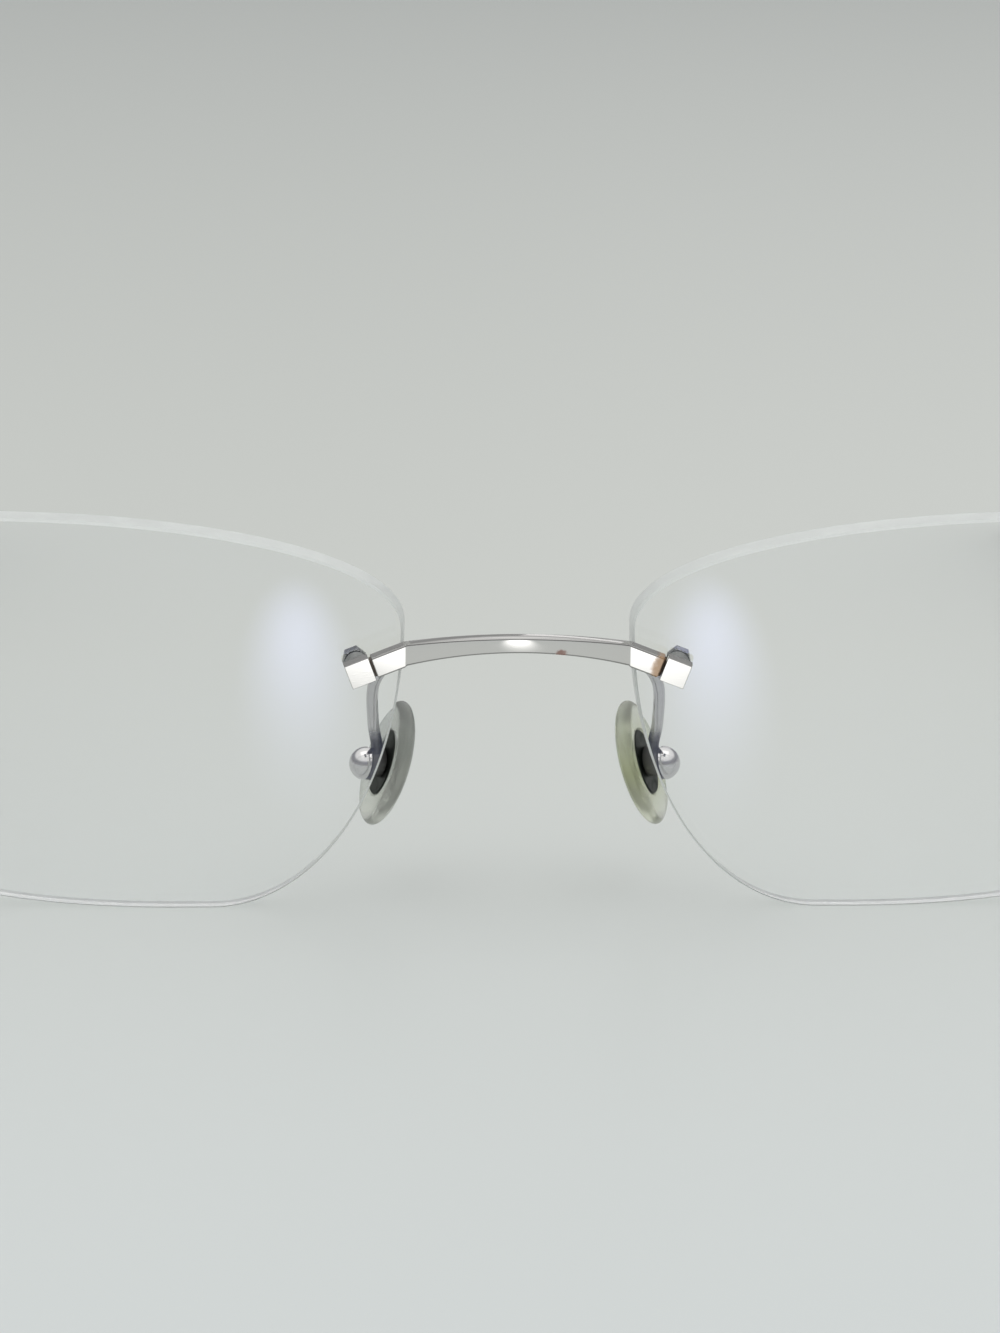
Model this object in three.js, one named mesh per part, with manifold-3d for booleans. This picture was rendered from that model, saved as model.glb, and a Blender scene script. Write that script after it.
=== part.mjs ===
// Rimless spectacles: two drilled lenses, an arched bridge bar, pads on wire arms and folding temples.
// Millimetres and degrees, +Z up. The front faces -Y and the wearer's left side is +X.
import * as THREE from "three";
import { mergeVertices } from "three/addons/utils/BufferGeometryUtils.js";
import Module from "manifold-3d";

const wasm = await Module();
wasm.setup();

// Lenses: a spherical shell cut to an outline whose four extreme points are not opposite each other
const LENS_WIDTH = 54;
const LENS_HEIGHT = 33.6;
const LENS_THICKNESS = 2.2;
const LENS_FRONT_RADIUS = 120;
const LENS_TOP_OUTWARD = 2.8; // top point, outward of the lens centre
const LENS_LOW_INWARD = 11.4; // lowest point, towards the nose from the lens centre
const LENS_NOSE_RISE = 7.6; // point nearest the nose, above the lens centre
const LENS_TEMPLE_RISE = 2.7; // outermost point, above the lens centre
const NOSE_EXPONENT = 2; // quarter ellipses on the nose side
const TEMPLE_EXPONENT = 2.8; // squarer quarters on the temple side
const BRIDGE_GAP = 18.6;
const LENS_WRAP = 4;
const FRONT_TILT = 5;

// Mounts: a square-headed post through the lens with washers, a bushing and a hexagon nut
const NOSE_HOLE_INSET = 3.55;
const NOSE_HOLE_RISE = 4.4;
const NOSE_MOUNT_SLOPE = 19.5;
const TEMPLE_HOLE_INSET = 3.6;
const TEMPLE_HOLE_RISE = 4.5;
const TEMPLE_MOUNT_SLOPE = 4;
const HEAD_SIZE = 2.05;
const HEAD_DEPTH = 1.2;
const POST_RADIUS = 0.6;
const POST_PROUD = 0.3;
const WASHER_RADIUS = 1;
const WASHER_THICKNESS = 0.25;
const BUSHING_WALL = 0.25;
const NUT_FLATS = 1.8;
const NUT_THICKNESS = 1.1;
const TENON_LENGTH = 0.7;
const TENON_HEIGHT = 1;
const TENON_DEPTH = 0.6;
const GROOVE = 0.22;

// Bridge bar
const BAR_DEPTH = 1.2;
const BAR_END_HEIGHT = 1.8;
const BAR_MID_HEIGHT = 1.3;
const BAR_CORNER = 0.2;
const BAR_BEND_OVERHANG = 0.3; // the bend lies this far past the lens edge
const BAR_RISE = 1.5;
const BAR_BOW = 1.8;

// Nose pads and their arms; the pad swivels on a stem that passes through the arm's eyelet
const ARM_RADIUS = 0.48;
const ARM_STANDOFF = 1.9; // from the back of the lens to the middle of the wire
const ARM_FALL = 1.7; // the wire sinks by this much on its way back past the lens edge
const ARM_SWING = 0.13; // the wire bows outward of the eyelet by this much on its way down
const ARM_OFFSET = 0.25; // the wire meets the eyelet this far from its middle, towards the ball
const ARM_LEVEL = 0.6; // share of the run back at which the wire has left the bar's bow
// Bends of the wire behind the lens: shares of its way outward, along the bar's slope, down and back
const ARM_BENDS = [
  { out: 0.2, slope: 0.2, down: 0, back: 0 },
  { out: 0.66, slope: 0.72, down: 0, back: 0 },
  { out: 0.97, slope: 0, down: 0.27, back: 0 },
  { out: 1, slope: 0, down: 0.66, back: 0.2 },
];
const EYELET_OUTWARD = 11.81;
const EYELET_DROP = 5.7;
const EYELET_SETBACK = 1.07; // behind the wire
const EYELET_RADIUS = 1.3;
const EYELET_THICKNESS = 1.5;
const PAD_LEAN = 18;
const PAD_SPLAY = 22;
const PAD_LENGTH = 11.1;
const PAD_WIDTH = 7;
const PAD_THICKNESS = 1.7;
const PAD_TUCK = 24; // the pad's side draws in through this angle towards its plate
const PAD_CROWN = 60; // and through this angle towards its crowned face
const PLATE_LENGTH = 5.8;
const PLATE_WIDTH = 3.4;
const PLATE_THICKNESS = 0.6;
const STEM_RADIUS = 0.5;
const BALL_RADIUS = 1.4;
const BALL_HEIGHT = 1.25; // from the ball's flat face to its crown
const BALL_BORE_DEPTH = 0.9;

// End pieces and hinges
const END_THICKNESS = 1.2;
const END_FRONT_HEIGHT = 1.8;
const END_EDGE_GAP = 1;
const END_BEND = 1.8;
const END_RUN = 10.5; // from the corner of the end piece back to the hinge axis
const HINGE_HEIGHT = 3.6;
const KNUCKLE_RADIUS = 1.25;
const KNUCKLE_MIDDLE = 1.4;
const WEB_SINK = 0.4; // a knuckle's web reaches this far into its band
const SCREW_RADIUS = 0.65;
const SCREW_HEAD_RADIUS = 1;
const SCREW_HEAD_HEIGHT = 0.45;
const SCREW_SLOT = 0.3;
const SCREW_SLOT_DEPTH = 0.22;

// Temples and tips
const TEMPLE_STRAIGHT = 91; // from the hinge axis to the ear bend
const TEMPLE_THICKNESS = 1.1;
const TEMPLE_END_HEIGHT = 2;
const CORE_RADIUS = 0.5;
const CORE_SHORT = 7; // the core ends this far before the round end of the tip
const EAR_RADIUS = 26;
const EAR_ANGLE = 42;
const TIP_LEAD = 16; // the tip begins this far ahead of the ear bend
const TIP_HEIGHT = 4.6;
const TIP_THICKNESS = 2.8;
const TIP_MOUTH_TAPER = 4;
const TIP_MOUTH_WALL = 0.5;
const TIP_FLAT = 0.5;

// Clearances
const SEAT_GAP = 0.05; // between pieces clamped face to face
const FIT_GAP = 0.05; // around pieces that sit in a hole or a pocket
const RUN_GAP = 0.05; // around the hinge screw and the pad stem
const SIDE_GAP = 0.1; // between hinge knuckles, and beside the eyelet
const LENS_EDGE_GAP = 0.4; // between a pad arm and the edge of the lens
const BUTT_GAP = 0.2; // between an end piece and its open temple
const CUT_PAST = 1; // a cutting body runs this far past what it cuts

// Facets
const LENS_RINGS = 6;
const LENS_SECTORS = 36;
const OUTLINE_STEPS = 16;
const ROUND_SIDES = 20;
const ARCH_STEPS = 12;
const BEND_STEPS = 6;
const ARM_STEPS = 36;
const ARM_SIDES = 8;
const PAD_SIDES = 28;
const CROWN_RINGS = 6;
const TIP_SIDES = 14;
const EAR_STEPS = 10;
const MERGE_WITHIN = 1e-4;
const CORNER_LIMIT = 0.45; // a rounded corner takes at most this share of its section

const radians = THREE.MathUtils.degToRad;
const vec = (x, y, z) => new THREE.Vector3(x, y, z);
const UP = vec(0, 0, 1);

// Solids

function toSolid(geometry) {
  const bare = geometry.clone();
  bare.deleteAttribute("normal");
  bare.deleteAttribute("uv");
  const merged = mergeVertices(bare, MERGE_WITHIN);
  const vertProperties = new Float32Array(merged.getAttribute("position").array);
  const triVerts = new Uint32Array(merged.index.array);
  return new wasm.Manifold(new wasm.Mesh({ numProp: 3, vertProperties, triVerts }));
}

function toGeometry(solid) {
  const { vertProperties, triVerts } = solid.getMesh();
  const geometry = new THREE.BufferGeometry();
  geometry.setAttribute("position", new THREE.BufferAttribute(vertProperties, 3));
  geometry.setIndex(new THREE.BufferAttribute(triVerts, 1));
  geometry.computeVertexNormals();
  return geometry;
}

function join(first, ...others) {
  return toGeometry(others.reduce((sum, other) => sum.add(toSolid(other)), toSolid(first)));
}

function cut(first, ...others) {
  return toGeometry(others.reduce((rest, other) => rest.subtract(toSolid(other)), toSolid(first)));
}

function common(first, second) {
  return toGeometry(toSolid(first).intersect(toSolid(second)));
}

// A closed skin through a row of rings with equal point counts, with flat ends
function loft(rings) {
  const count = rings[0].length;
  const points = rings.flat();
  const first = points.push(centreOf(rings[0])) - 1;
  const last = points.push(centreOf(rings.at(-1))) - 1;
  const lastRing = (rings.length - 1) * count;
  const triangles = [];
  for (let i = 0; i < count; i += 1) {
    const next = (i + 1) % count;
    triangles.push(first, next, i);
    triangles.push(last, lastRing + i, lastRing + next);
    for (let row = 0; row < lastRing; row += count) {
      triangles.push(row + i, row + next, row + count + next);
      triangles.push(row + i, row + count + next, row + count + i);
    }
  }
  const geometry = new THREE.BufferGeometry().setFromPoints(points);
  geometry.setIndex(triangles);
  return geometry;
}

function centreOf(ring) {
  return ring.reduce((sum, point) => sum.add(point), vec(0, 0, 0)).divideScalar(ring.length);
}

// A ring for a loft: across and up are unit vectors, and the path runs along across x up
function ringAt(centre, across, up, section) {
  return section.map((p) => centre.clone().addScaledVector(across, p.x).addScaledVector(up, p.y));
}

// Counter-clockwise sections, x across and y up
function roundedSection(width, height, corner) {
  const radius = Math.min(corner, CORNER_LIMIT * width, CORNER_LIMIT * height);
  const centres = [
    [1, -1],
    [1, 1],
    [-1, 1],
    [-1, -1],
  ];
  return centres.flatMap(([sx, sy], quarter) =>
    [0, 45, 90].map((step) => {
      const angle = radians(quarter * 90 - 90 + step);
      const x = sx * (width / 2 - radius) + radius * Math.cos(angle);
      const y = sy * (height / 2 - radius) + radius * Math.sin(angle);
      return new THREE.Vector2(x, y);
    }),
  );
}

function ovalSection(width, height, sides) {
  return Array.from({ length: sides }, (_, i) => {
    const angle = (i * 2 * Math.PI) / sides;
    return new THREE.Vector2((width / 2) * Math.cos(angle), (height / 2) * Math.sin(angle));
  });
}

// Solids of revolution about Y, between two heights
function disc(radius, low, high, sides = ROUND_SIDES) {
  const made = new THREE.CylinderGeometry(radius, radius, high - low, sides);
  return made.translate(0, (low + high) / 2, 0);
}

function ring(inner, outer, low, high) {
  return cut(disc(outer, low, high), disc(inner, low - CUT_PAST, high + CUT_PAST));
}

function block(low, high) {
  const size = high.clone().sub(low);
  const middle = low.clone().add(high).divideScalar(2);
  return new THREE.BoxGeometry(size.x, size.y, size.z).translate(middle.x, middle.y, middle.z);
}

// A prism of a shape drawn in X and Z, between two depths along Y
function prism(shape, low, high) {
  const made = new THREE.ExtrudeGeometry(shape, { depth: high - low, bevelEnabled: false });
  return made.rotateX(Math.PI / 2).translate(0, high, 0);
}

// Lens: local X is outward, Y is back along the optical axis and Z is up

function sag(u, v) {
  return LENS_FRONT_RADIUS - Math.sqrt(LENS_FRONT_RADIUS ** 2 - u * u - v * v);
}

function lensOutline() {
  const half = LENS_WIDTH / 2;
  const rise = LENS_HEIGHT / 2;
  const quarters = [
    { u: LENS_TOP_OUTWARD, v: LENS_TEMPLE_RISE, toU: half, toV: rise, n: TEMPLE_EXPONENT },
    { u: LENS_TOP_OUTWARD, v: LENS_NOSE_RISE, toU: -half, toV: rise, n: NOSE_EXPONENT },
    { u: -LENS_LOW_INWARD, v: LENS_NOSE_RISE, toU: -half, toV: -rise, n: NOSE_EXPONENT },
    { u: -LENS_LOW_INWARD, v: LENS_TEMPLE_RISE, toU: half, toV: -rise, n: TEMPLE_EXPONENT },
  ];
  const points = quarters.flatMap(({ u, v, toU, toV, n }, quarter) =>
    Array.from({ length: OUTLINE_STEPS }, (_, i) => {
      const angle = ((quarter % 2 ? OUTLINE_STEPS - i : i) / OUTLINE_STEPS) * (Math.PI / 2);
      const x = u + (toU - u) * Math.cos(angle) ** (2 / n);
      const y = v + (toV - v) * Math.sin(angle) ** (2 / n);
      return new THREE.Vector2(x, y);
    }),
  );
  return new THREE.Shape(points);
}

function lensShell() {
  const reach = Math.hypot(LENS_WIDTH, LENS_HEIGHT) / 2 + CUT_PAST;
  const back = LENS_FRONT_RADIUS - LENS_THICKNESS;
  const spread = Math.asin(reach / LENS_FRONT_RADIUS);
  const arc = (radius, step) => {
    const angle = (spread * step) / LENS_RINGS;
    return new THREE.Vector2(radius * Math.sin(angle), LENS_FRONT_RADIUS - radius * Math.cos(angle));
  };
  const steps = Array.from({ length: LENS_RINGS + 1 }, (_, i) => i);
  const front = steps.map((i) => arc(LENS_FRONT_RADIUS, i));
  const rear = steps.map((i) => arc(back, LENS_RINGS - i));
  front[0].x = 0;
  rear.at(-1).x = 0;
  return new THREE.LatheGeometry([...front, ...rear], LENS_SECTORS);
}

// A frame on the front of the lens: X along the bar, Y back into the lens and Z up
function mountFrame(u, v, slope) {
  const origin = vec(u, sag(u, v), v);
  const back = vec(0, LENS_FRONT_RADIUS, 0).sub(origin).normalize();
  const along = vec(Math.cos(radians(slope)), 0, -Math.sin(radians(slope)));
  along.addScaledVector(back, -along.dot(back)).normalize();
  const up = along.clone().cross(back);
  return new THREE.Matrix4().makeBasis(along, back, up).setPosition(origin);
}

const noseHole = LENS_WIDTH / 2 - NOSE_HOLE_INSET;
const templeHole = LENS_WIDTH / 2 - TEMPLE_HOLE_INSET;
const noseMount = mountFrame(-noseHole, NOSE_HOLE_RISE, NOSE_MOUNT_SLOPE);
const templeMount = mountFrame(templeHole, TEMPLE_HOLE_RISE, TEMPLE_MOUNT_SLOPE);
const bushingInner = POST_RADIUS + FIT_GAP;
const bushingOuter = bushingInner + BUSHING_WALL;
const holeRadius = bushingOuter + FIT_GAP;

function lensGeometry() {
  const shell = lensShell();
  const depth = sag(Math.hypot(LENS_WIDTH, LENS_HEIGHT) / 2, 0) + 2 * LENS_THICKNESS;
  const blank = common(prism(lensOutline(), -CUT_PAST, depth), shell);
  const drill = disc(holeRadius, -LENS_THICKNESS, 2 * LENS_THICKNESS);
  const holes = [noseMount, templeMount].map((frame) => drill.clone().applyMatrix4(frame));
  return cut(blank, ...holes);
}

// The lens stands in the front with its point nearest the nose half a bridge gap from the middle
const wrap = radians(LENS_WRAP);
const noseReach =
  (LENS_WIDTH / 2) * Math.cos(wrap) + sag(LENS_WIDTH / 2, LENS_NOSE_RISE) * Math.sin(wrap);
const lensCentre = vec(BRIDGE_GAP / 2 + noseReach, 0, 0);
const lensSeat = new THREE.Matrix4().makeRotationZ(wrap).setPosition(lensCentre);
const tilt = new THREE.Matrix4().makeRotationX(radians(FRONT_TILT));

// Mount hardware, in a mount frame whose Y = 0 is the front of the lens

const headBack = -(WASHER_THICKNESS + 2 * SEAT_GAP);
const headFront = headBack - HEAD_DEPTH;
const nutFront = LENS_THICKNESS + WASHER_THICKNESS + 2 * SEAT_GAP;
const tenonMiddle = headBack - HEAD_DEPTH / 2;

// Side is -1 where the head's socket faces the nose and 1 where it faces the temple
function postGeometry(side) {
  const half = HEAD_SIZE / 2;
  const head = block(vec(-half, headFront, -half), vec(half, headBack, half));
  const shank = disc(POST_RADIUS, headBack - SEAT_GAP, nutFront + NUT_THICKNESS + POST_PROUD);
  const socketInner = half - TENON_LENGTH - FIT_GAP;
  const socketHeight = TENON_HEIGHT / 2 + FIT_GAP;
  const socketDepth = TENON_DEPTH / 2 + FIT_GAP;
  const socket = block(
    vec(socketInner, tenonMiddle - socketDepth, -socketHeight),
    vec(half + CUT_PAST, tenonMiddle + socketDepth, socketHeight),
  );
  if (side < 0) socket.rotateZ(Math.PI).translate(0, 2 * tenonMiddle, 0);
  return cut(join(head, shank), socket);
}

function nutGeometry() {
  const corner = NUT_FLATS / 2 / Math.cos(Math.PI / 6);
  const hexagon = new THREE.CylinderGeometry(corner, corner, NUT_THICKNESS, 6);
  hexagon.rotateY(Math.PI / 6).translate(0, nutFront + NUT_THICKNESS / 2, 0);
  const bore = disc(bushingInner, nutFront - CUT_PAST, nutFront + NUT_THICKNESS + CUT_PAST);
  return cut(hexagon, bore);
}

const washerGeometry = {
  front: ring(bushingInner, WASHER_RADIUS, -SEAT_GAP - WASHER_THICKNESS, -SEAT_GAP),
  back: ring(
    bushingInner,
    WASHER_RADIUS,
    LENS_THICKNESS + SEAT_GAP,
    LENS_THICKNESS + SEAT_GAP + WASHER_THICKNESS,
  ),
};
const bushingGeometry = ring(bushingInner, bushingOuter, SEAT_GAP, LENS_THICKNESS - SEAT_GAP);

// Bridge bar: flat ends beside the post heads, a bend past each lens edge, and an arch between

const noseFrame = lensSeat.clone().multiply(noseMount);
const barMiddle = headBack - BAR_DEPTH / 2;
const barShoulder = HEAD_SIZE / 2 + GROOVE;
const bendRun = (NOSE_HOLE_INSET + BAR_BEND_OVERHANG) / Math.cos(radians(NOSE_MOUNT_SLOPE));
const bendPoint = vec(-bendRun, barMiddle, 0).applyMatrix4(noseFrame);

function axesOf(frame) {
  const axes = [vec(), vec(), vec()];
  frame.extractBasis(...axes);
  return axes;
}

// Share runs from 0 at the middle of the bridge to 1 at the bend
function archAt(share) {
  const fall = 1 - share * share;
  const centre = vec(bendPoint.x * share, bendPoint.y - BAR_BOW * fall, bendPoint.z + BAR_RISE * fall);
  const along = vec(bendPoint.x, 2 * BAR_BOW * share, -2 * BAR_RISE * share).normalize();
  const up = UP.clone().addScaledVector(along, -UP.dot(along)).normalize();
  const back = up.clone().cross(along);
  return { centre, along, up, back };
}

function bridgeGeometry() {
  const [, frameBack, frameUp] = axesOf(noseFrame);
  const frameFront = frameBack.clone().negate();
  const tenon = roundedSection(TENON_DEPTH, TENON_HEIGHT, BAR_CORNER);
  const bar = (height) => roundedSection(BAR_DEPTH, height, BAR_CORNER);
  const inFrame = (x, y, section) =>
    ringAt(vec(x, y, 0).applyMatrix4(noseFrame), frameFront, frameUp, section);
  const rings = [
    inFrame(TENON_LENGTH - HEAD_SIZE / 2, tenonMiddle, tenon),
    inFrame(-barShoulder, tenonMiddle, tenon),
    inFrame(-barShoulder, barMiddle, bar(BAR_END_HEIGHT)),
  ];
  for (let step = ARCH_STEPS; step >= 0; step -= 1) {
    const share = step / ARCH_STEPS;
    const { centre, up, back } = archAt(share);
    if (step === ARCH_STEPS) {
      back.add(frameBack).normalize();
      up.add(frameUp).normalize();
    }
    const height = BAR_MID_HEIGHT + (BAR_END_HEIGHT - BAR_MID_HEIGHT) * share * share;
    rings.push(ringAt(centre, back.negate(), up, bar(height)));
  }
  const mirrored = rings.slice(0, -1).map((points) => points.map((p) => vec(-p.x, p.y, p.z)));
  return loft([...rings, ...mirrored.reverse()]);
}

// Nose pads, in a frame at the eyelet: X along the stem away from the nose, Z up the pad

const armDepth = noseFrame.elements[13] + LENS_THICKNESS + ARM_STANDOFF;
const eyelet = vec(EYELET_OUTWARD, armDepth + EYELET_SETBACK, -EYELET_DROP);
const padFrame = new THREE.Matrix4()
  .makeRotationY(-radians(PAD_LEAN))
  .multiply(new THREE.Matrix4().makeRotationZ(-radians(PAD_SPLAY)))
  .setPosition(eyelet);
const plateFace = -(EYELET_THICKNESS / 2 + SIDE_GAP);
const ballFace = EYELET_THICKNESS / 2 + SIDE_GAP;
const stemEnd = ballFace + BALL_BORE_DEPTH - FIT_GAP;

// Turns a solid of revolution about Y into one about X
const aboutX = (geometry) => geometry.rotateZ(-Math.PI / 2);

function armGeometry() {
  const rootX = BRIDGE_GAP / 2 - LENS_EDGE_GAP - ARM_RADIUS;
  const { centre, back } = archAt(rootX / bendPoint.x);
  const root = centre.clone().addScaledVector(back, BAR_DEPTH / 2 + SEAT_GAP);
  const [stem, , padUp] = axesOf(padFrame);
  const joint = eyelet.clone().addScaledVector(stem, ARM_OFFSET);
  const top = joint.clone().addScaledVector(padUp, EYELET_RADIUS - ARM_RADIUS / 2);
  const neck = joint.clone().addScaledVector(padUp, EYELET_RADIUS + ARM_RADIUS / 2);
  const run = armDepth - root.y;
  const out = top.x + ARM_SWING - rootX;
  const behind = root.z - ARM_FALL;
  const drop = behind - top.z;
  const follow = out * Math.tan(radians(NOSE_MOUNT_SLOPE));
  const bends = ARM_BENDS.map((bend) => {
    const depth = armDepth + bend.back * EYELET_SETBACK;
    return vec(rootX + bend.out * out, depth, behind - bend.slope * follow - bend.down * drop);
  });
  // Back past the lens edge, outward behind the bar, then down between the plate and the ball
  const route = new THREE.CatmullRomCurve3([
    root,
    root.clone().addScaledVector(back, ARM_RADIUS),
    vec(rootX, root.y + ARM_LEVEL * run, root.z - ARM_LEVEL * ARM_FALL),
    ...bends,
    neck,
    top,
  ]);
  const section = new THREE.Shape(ovalSection(2 * ARM_RADIUS, 2 * ARM_RADIUS, ARM_SIDES));
  const wire = new THREE.ExtrudeGeometry(section, { steps: ARM_STEPS, extrudePath: route });
  const half = EYELET_THICKNESS / 2;
  const rim = aboutX(disc(EYELET_RADIUS, -half, half)).applyMatrix4(padFrame);
  const reach = half + CUT_PAST;
  const bore = aboutX(disc(STEM_RADIUS + RUN_GAP, -reach, reach)).applyMatrix4(padFrame);
  return cut(join(wire, rim), bore);
}

// A flat oval prism along X, from one depth to another
function ovalPrism(length, width, low, high) {
  const shape = new THREE.Shape(ovalSection(width, length, PAD_SIDES));
  const made = new THREE.ExtrudeGeometry(shape, { depth: high - low, bevelEnabled: false });
  const turn = new THREE.Matrix4().makeBasis(vec(0, 1, 0), UP, vec(1, 0, 0));
  return made.applyMatrix4(turn).translate(low, 0, 0);
}

function plateGeometry() {
  const plate = ovalPrism(PLATE_LENGTH, PLATE_WIDTH, plateFace - PLATE_THICKNESS, plateFace);
  return join(plate, aboutX(disc(STEM_RADIUS, plateFace - SEAT_GAP, stemEnd)));
}

function ballGeometry() {
  const centre = BALL_HEIGHT - BALL_RADIUS;
  const start = Math.acos(-centre / BALL_RADIUS);
  const profile = [new THREE.Vector2(0, 0)];
  for (let i = 0; i <= BEND_STEPS; i += 1) {
    const angle = start * (1 - i / BEND_STEPS);
    const radius = i === BEND_STEPS ? 0 : BALL_RADIUS * Math.sin(angle);
    profile.push(new THREE.Vector2(radius, centre + BALL_RADIUS * Math.cos(angle)));
  }
  const ball = new THREE.LatheGeometry(profile, ROUND_SIDES);
  const bore = disc(STEM_RADIUS + FIT_GAP, -CUT_PAST, BALL_BORE_DEPTH);
  return aboutX(cut(ball, bore)).translate(ballFace, 0, 0);
}

// A pad with a crowned face towards the nose, drawn in at its edge, and a pocket for its plate
function padGeometry() {
  const tuck = radians(PAD_TUCK);
  const crown = radians(PAD_CROWN);
  const rings = [];
  for (let i = 0; i <= CROWN_RINGS; i += 1) {
    const angle = (i / CROWN_RINGS) * (tuck + crown) - tuck;
    const size = Math.cos(angle);
    const rise = (Math.sin(angle) + Math.sin(tuck)) / (Math.sin(crown) + Math.sin(tuck));
    const section = ovalSection(PAD_WIDTH * size, PAD_LENGTH * size, PAD_SIDES);
    rings.push(ringAt(vec(plateFace - PAD_THICKNESS * rise, 0, 0), vec(0, -1, 0), UP, section));
  }
  const pocket = ovalPrism(
    PLATE_LENGTH + 2 * FIT_GAP,
    PLATE_WIDTH + 2 * FIT_GAP,
    plateFace - PLATE_THICKNESS - FIT_GAP,
    plateFace + CUT_PAST,
  );
  return cut(loft(rings), pocket);
}

// End piece: from the post head over the lens edge, then back to two hinge knuckles

const templeFrame = tilt.clone().multiply(lensSeat).multiply(templeMount);
const lensOuter =
  lensCentre.x +
  (LENS_WIDTH / 2) * Math.cos(wrap) -
  sag(LENS_WIDTH / 2, LENS_TEMPLE_RISE) * Math.sin(wrap);
const bandInner = lensOuter + END_EDGE_GAP;
const endBand = bandInner + END_THICKNESS / 2;
const endMiddle = headBack - END_THICKNESS / 2;
const endStart = vec(barShoulder, endMiddle, 0).applyMatrix4(templeFrame);
const [endAlong, endBack, endUp] = axesOf(templeFrame);
const endCorner = endStart.clone().addScaledVector(endAlong, (endBand - endStart.x) / endAlong.x);
const hinge = vec(bandInner - SIDE_GAP - KNUCKLE_RADIUS, endCorner.y + END_RUN, endCorner.z);
const knuckleTop = HINGE_HEIGHT / 2;
const knuckleSplit = KNUCKLE_MIDDLE / 2 + SIDE_GAP;
const screwBore = SCREW_RADIUS + RUN_GAP;

// A solid of revolution about the hinge axis, between two heights from the middle of the hinge
function aboutHinge(radius, low, high) {
  const made = disc(radius, low, high).rotateX(Math.PI / 2);
  return made.translate(hinge.x, hinge.y, hinge.z);
}

// A knuckle and the web that carries it, on the end piece's side (-1) or the temple's side (1)
function knuckle(low, high, side) {
  const near = hinge.y + side * (BUTT_GAP / 2);
  const far = hinge.y + side * KNUCKLE_RADIUS;
  const web = block(
    vec(hinge.x, Math.min(near, far), hinge.z + low),
    vec(bandInner + WEB_SINK, Math.max(near, far), hinge.z + high),
  );
  return join(aboutHinge(KNUCKLE_RADIUS, low, high), web);
}

function endpieceGeometry() {
  const buttEnd = vec(endBand, hinge.y - BUTT_GAP / 2, hinge.z);
  const bendStart = endCorner.clone().addScaledVector(endAlong, -END_BEND);
  const bendEnd = endCorner.clone().add(vec(0, END_BEND, 0));
  const bend = new THREE.QuadraticBezierCurve3(bendStart, endCorner, bendEnd);
  const turns = Array.from({ length: BEND_STEPS + 1 }, (_, i) => i / BEND_STEPS);
  const stations = [
    { centre: endStart, along: endAlong },
    ...turns.map((t) => ({ centre: bend.getPoint(t), along: bend.getTangent(t) })),
    { centre: buttEnd, along: vec(0, 1, 0) },
  ];
  const tenon = roundedSection(TENON_DEPTH, TENON_HEIGHT, BAR_CORNER);
  const inFrame = (x) => ringAt(vec(x, tenonMiddle, 0).applyMatrix4(templeFrame), endBack, endUp, tenon);
  const rings = [inFrame(HEAD_SIZE / 2 - TENON_LENGTH), inFrame(barShoulder)];
  stations.forEach(({ centre, along }) => {
    const share = Math.max(0, (centre.y - bendStart.y) / (buttEnd.y - bendStart.y));
    const lean = endUp.clone().lerp(UP, share);
    const up = lean.addScaledVector(along, -lean.dot(along)).normalize();
    const back = up.clone().cross(along);
    const height = END_FRONT_HEIGHT + (HINGE_HEIGHT - END_FRONT_HEIGHT) * share;
    rings.push(ringAt(centre, back, up, roundedSection(END_THICKNESS, height, BAR_CORNER)));
  });
  const band = loft(rings);
  const upper = knuckle(knuckleSplit, knuckleTop, -1);
  const lower = knuckle(-knuckleTop, -knuckleSplit, -1);
  return cut(join(band, upper, lower), aboutHinge(screwBore, -HINGE_HEIGHT, HINGE_HEIGHT));
}

function screwGeometry() {
  const seat = knuckleTop + SEAT_GAP;
  const top = seat + SCREW_HEAD_HEIGHT;
  const shank = aboutHinge(SCREW_RADIUS, -knuckleTop, seat + SEAT_GAP);
  const head = aboutHinge(SCREW_HEAD_RADIUS, seat, top);
  const reach = SCREW_HEAD_RADIUS + CUT_PAST;
  const slot = block(
    vec(hinge.x - reach, hinge.y - SCREW_SLOT / 2, hinge.z + top - SCREW_SLOT_DEPTH),
    vec(hinge.x + reach, hinge.y + SCREW_SLOT / 2, hinge.z + top + CUT_PAST),
  );
  return cut(join(shank, head), slot);
}

// Temple: a flat bar that narrows to a round core, which runs on into the tip

const lensMesh = lensGeometry();
const floor = new THREE.Box3().setFromBufferAttribute(
  lensMesh.clone().applyMatrix4(lensSeat).applyMatrix4(tilt).getAttribute("position"),
).min.z;
const templeMiddle = bandInner + TEMPLE_THICKNESS / 2;
const earAngle = radians(EAR_ANGLE);
const earDrop = EAR_RADIUS * (1 - Math.cos(earAngle));
const tipRound = TIP_HEIGHT / 2;
const earRun = (hinge.z - earDrop - tipRound - floor + TIP_FLAT) / Math.sin(earAngle);
const earArc = EAR_RADIUS * earAngle;
const tipStart = TEMPLE_STRAIGHT - TIP_LEAD;
const roundStart = TEMPLE_STRAIGHT + earArc + earRun;

// The temple's middle line: straight back from the hinge, round the ear bend and down to the tip
function templeAt(length) {
  const past = THREE.MathUtils.clamp(length - TEMPLE_STRAIGHT, 0, earArc);
  const turn = past / EAR_RADIUS;
  const beyond = Math.max(0, length - TEMPLE_STRAIGHT - earArc);
  const straight = Math.min(length, TEMPLE_STRAIGHT);
  const y = hinge.y + straight + EAR_RADIUS * Math.sin(turn) + beyond * Math.cos(turn);
  const z = hinge.z - EAR_RADIUS * (1 - Math.cos(turn)) - beyond * Math.sin(turn);
  return { centre: vec(templeMiddle, y, z), up: vec(0, Math.sin(turn), Math.cos(turn)) };
}

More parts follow.
